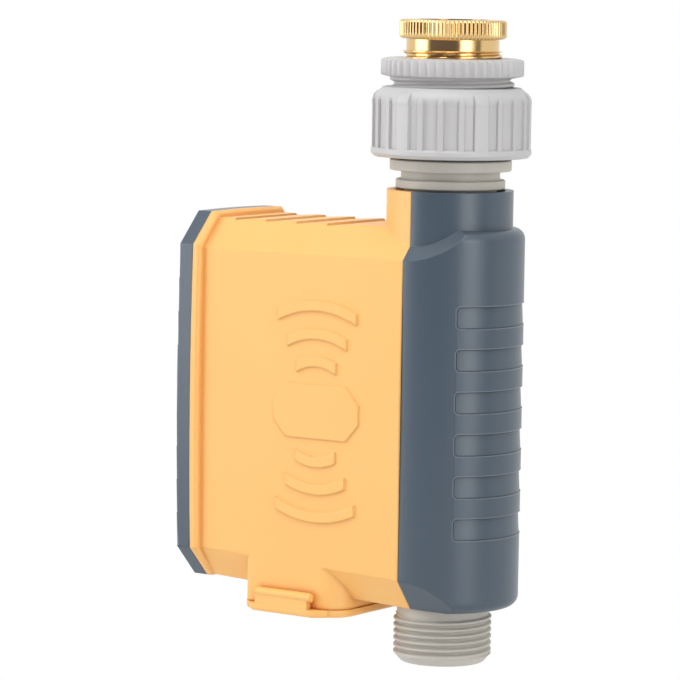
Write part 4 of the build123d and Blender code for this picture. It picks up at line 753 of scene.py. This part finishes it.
class TIMER_OT_stage(bpy.types.Operator):
    """Lay the pale floor, hang the lamps and set the camera at the photograph's angle"""
    bl_idname = "timer.stage"
    bl_label = "Stage"

    # Lengths of the stage are in metres, and angles in degrees
    floor_drop, floor_reach = 0.10, 30.0
    shadow_reach, white_from = 0.35, 0.55
    world_light = 0.48
    middle = (0.0, 0.0, -0.09)
    # Name, bearing, tilt, distance, width, height and brightness
    softboxes = (("left_softbox", -52, 0, 1.2, 0.78, 1.6, 2.6),
                 ("right_softbox", 67, 0, 1.2, 0.56, 1.6, 2.55),
                 ("rear_softbox", 143, 0, 1.2, 1.4, 1.6, 0.45),
                 ("high_key", 10, 65, 1.2, 1.1, 1.0, 2.5))
    # Name, bearing, distance, half width, top and shade
    reflected_cards = (("front_card", 11, 1.4, 1.15, 0.75, "#746F7A"),
                       ("side_card", 98, 1.4, 0.2, 0.75, "#989592"))
    # Camera fitted to the photograph
    camera_side, camera_pan, camera_tilt, camera_roll = 33.363, 1.657, 5.838, 0.883
    camera_away, camera_height = 996.258 * MM, 15.769 * MM
    focal_pixels, picture_pixels, sensor_mm = 3734.866, 680, 36.0

    def execute(self, context):
        self.floor()
        self.world(context)
        self.lamps()
        self.cards()
        self.camera(context)
        context.scene.view_settings.view_transform = "Standard"
        return {"FINISHED"}

    def floor(self):
        """Pale floor below the hanging timer; it turns white away from the timer's shadow."""
        height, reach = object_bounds()[0][2] - self.floor_drop, self.floor_reach
        mesh = bpy.data.meshes.new("pale_floor")
        mesh.from_pydata([(-reach, -reach, height), (reach, -reach, height),
                          (reach, reach, height), (-reach, reach, height)], [], [(0, 1, 2, 3)])
        material, tree = new_finish("matt_white_paper")
        length = add_node(tree, "ShaderNodeVectorMath", {0: object_place(tree)}, operation="LENGTH")
        away = mapped(tree, length.outputs["Value"],
                      {"From Min": self.shadow_reach, "From Max": self.white_from},
                      interpolation_type="SMOOTHSTEP")
        share = maths(tree, "MULTIPLY", where_seen(tree), away)
        matt = add_node(tree, "ShaderNodeBsdfDiffuse", {"Color": linear("#F4F4F4")})
        white = add_node(tree, "ShaderNodeEmission", {"Color": linear(WHITE), "Strength": 1.0})
        mix = add_node(tree, "ShaderNodeMixShader", {
            0: share, 1: matt.outputs["BSDF"], 2: white.outputs["Emission"]})
        surface(tree, mix.outputs["Shader"])
        mesh.materials.append(material)
        place_in_scene("pale_floor", mesh)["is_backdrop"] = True

    def world(self, context):
        """Soft grey surroundings for light, and white where they are seen."""
        world = bpy.data.worlds.new("soft_studio")
        context.scene.world = world
        world.use_nodes = True
        tree = world.node_tree
        tree.nodes.clear()
        glow = add_node(tree, "ShaderNodeBackground", {
            "Color": linear(WHITE), "Strength": self.world_light})
        white = add_node(tree, "ShaderNodeBackground", {"Color": linear(WHITE), "Strength": 1.0})
        mix = add_node(tree, "ShaderNodeMixShader", {
            0: where_seen(tree), 1: glow.outputs["Background"], 2: white.outputs["Background"]})
        add_node(tree, "ShaderNodeOutputWorld", {"Surface": mix.outputs["Shader"]})

    def lamps(self):
        """Tall softboxes round the timer, and one above it."""
        for name, bearing, tilt, away, width, height, brightness in self.softboxes:
            bearing, tilt = radians(bearing), radians(tilt)
            outward = Vector((cos(bearing) * cos(tilt), sin(bearing) * cos(tilt), sin(tilt)))
            lamp = bpy.data.lights.new(name, "AREA")
            lamp.shape = "RECTANGLE"
            lamp.size, lamp.size_y = width, height
            lamp.energy = brightness * pi * width * height
            holder = place_in_scene(name, lamp)
            holder.location = Vector(self.middle) + outward * away
            holder.rotation_euler = outward.to_track_quat("Z", "Y").to_euler()
            # The rear one only lights: a reflection of it would whiten the brass
            holder.visible_glossy = name != "rear_softbox"

    def cards(self):
        """Cards between the softboxes, which give the brass and the slate their dark reflections."""
        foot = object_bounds()[0][2] - self.floor_drop + MM
        for name, bearing, away, half_width, top, shade in self.reflected_cards:
            bearing = radians(bearing)
            middle = Vector((away * cos(bearing), away * sin(bearing), 0))
            along = Vector((-sin(bearing), cos(bearing), 0)) * half_width
            left, right = middle - along, middle + along
            mesh = bpy.data.meshes.new(name)
            mesh.from_pydata([(left.x, left.y, foot), (right.x, right.y, foot),
                              (right.x, right.y, top), (left.x, left.y, top)], [], [(0, 1, 2, 3)])
            material, tree = new_finish("matt_" + name)
            matt = add_node(tree, "ShaderNodeBsdfDiffuse", {"Color": linear(shade)})
            surface(tree, matt.outputs["BSDF"])
            mesh.materials.append(material)
            card = place_in_scene(name, mesh)
            card.visible_camera = False
            card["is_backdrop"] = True

    def camera(self, context):
        """Long lens, as far away and as slightly tilted as in the photograph."""
        side, pan = radians(self.camera_side), radians(self.camera_pan)
        tilt, roll = radians(self.camera_tilt), radians(self.camera_roll)
        place = Vector((self.camera_away * cos(side), self.camera_away * sin(side),
                        self.camera_height))
        bearing = side + pi + pan
        forward = Vector((cos(bearing) * cos(tilt), sin(bearing) * cos(tilt), -sin(tilt)))
        level = Vector((forward.y, -forward.x, 0)).normalized()
        upright = level.cross(forward)
        right = level * cos(roll) + upright * sin(roll)
        up = upright * cos(roll) - level * sin(roll)
        lens = bpy.data.cameras.new("photo_camera")
        lens.sensor_fit = "HORIZONTAL"
        lens.sensor_width = self.sensor_mm
        lens.lens = self.sensor_mm * self.focal_pixels / self.picture_pixels
        lens.clip_end = 100.0
        camera = place_in_scene("photo_camera", lens)
        turn = Matrix((right, up, -forward)).transposed().to_4x4()
        camera.matrix_world = Matrix.Translation(place) @ turn
        context.scene.camera = camera


class TIMER_PT_pieces(bpy.types.Panel):
    """Lists the pieces and their settings"""
    bl_idname = "TIMER_PT_pieces"
    bl_label = "Wifi water timer"
    bl_space_type = "VIEW_3D"
    bl_region_type = "UI"
    bl_category = "Timer"

    def draw(self, context):
        layout = self.layout
        for group in (context.scene.timer_threads, context.scene.timer_colours):
            box = layout.box()
            for name in group.bl_rna.properties.keys():
                if name not in ("rna_type", "name"):
                    box.prop(group, name)
        for operator in OPERATORS:
            layout.operator(operator.bl_idname)


OPERATORS = (TIMER_OT_tap_adapter, TIMER_OT_reducer, TIMER_OT_pipe, TIMER_OT_nut, TIMER_OT_housing,
             TIMER_OT_workings, TIMER_OT_stage)
CLASSES = (TimerThreads, TimerColours) + OPERATORS + (TIMER_PT_pieces,)


def register():
    for cls in CLASSES:
        bpy.utils.register_class(cls)
    bpy.types.Scene.timer_threads = PointerProperty(type=TimerThreads)
    bpy.types.Scene.timer_colours = PointerProperty(type=TimerColours)


def unregister():
    del bpy.types.Scene.timer_colours
    del bpy.types.Scene.timer_threads
    for cls in reversed(CLASSES):
        bpy.utils.unregister_class(cls)


def main():
    """Registers the add-on and dresses the model."""
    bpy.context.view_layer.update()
    register()
    bpy.ops.timer.stage()
    bpy.ops.timer.tap_adapter()
    bpy.ops.timer.reducer()
    bpy.ops.timer.nut()
    bpy.ops.timer.pipe()
    bpy.ops.timer.housing()
    bpy.ops.timer.workings()


if __name__ == "__main__":
    main()
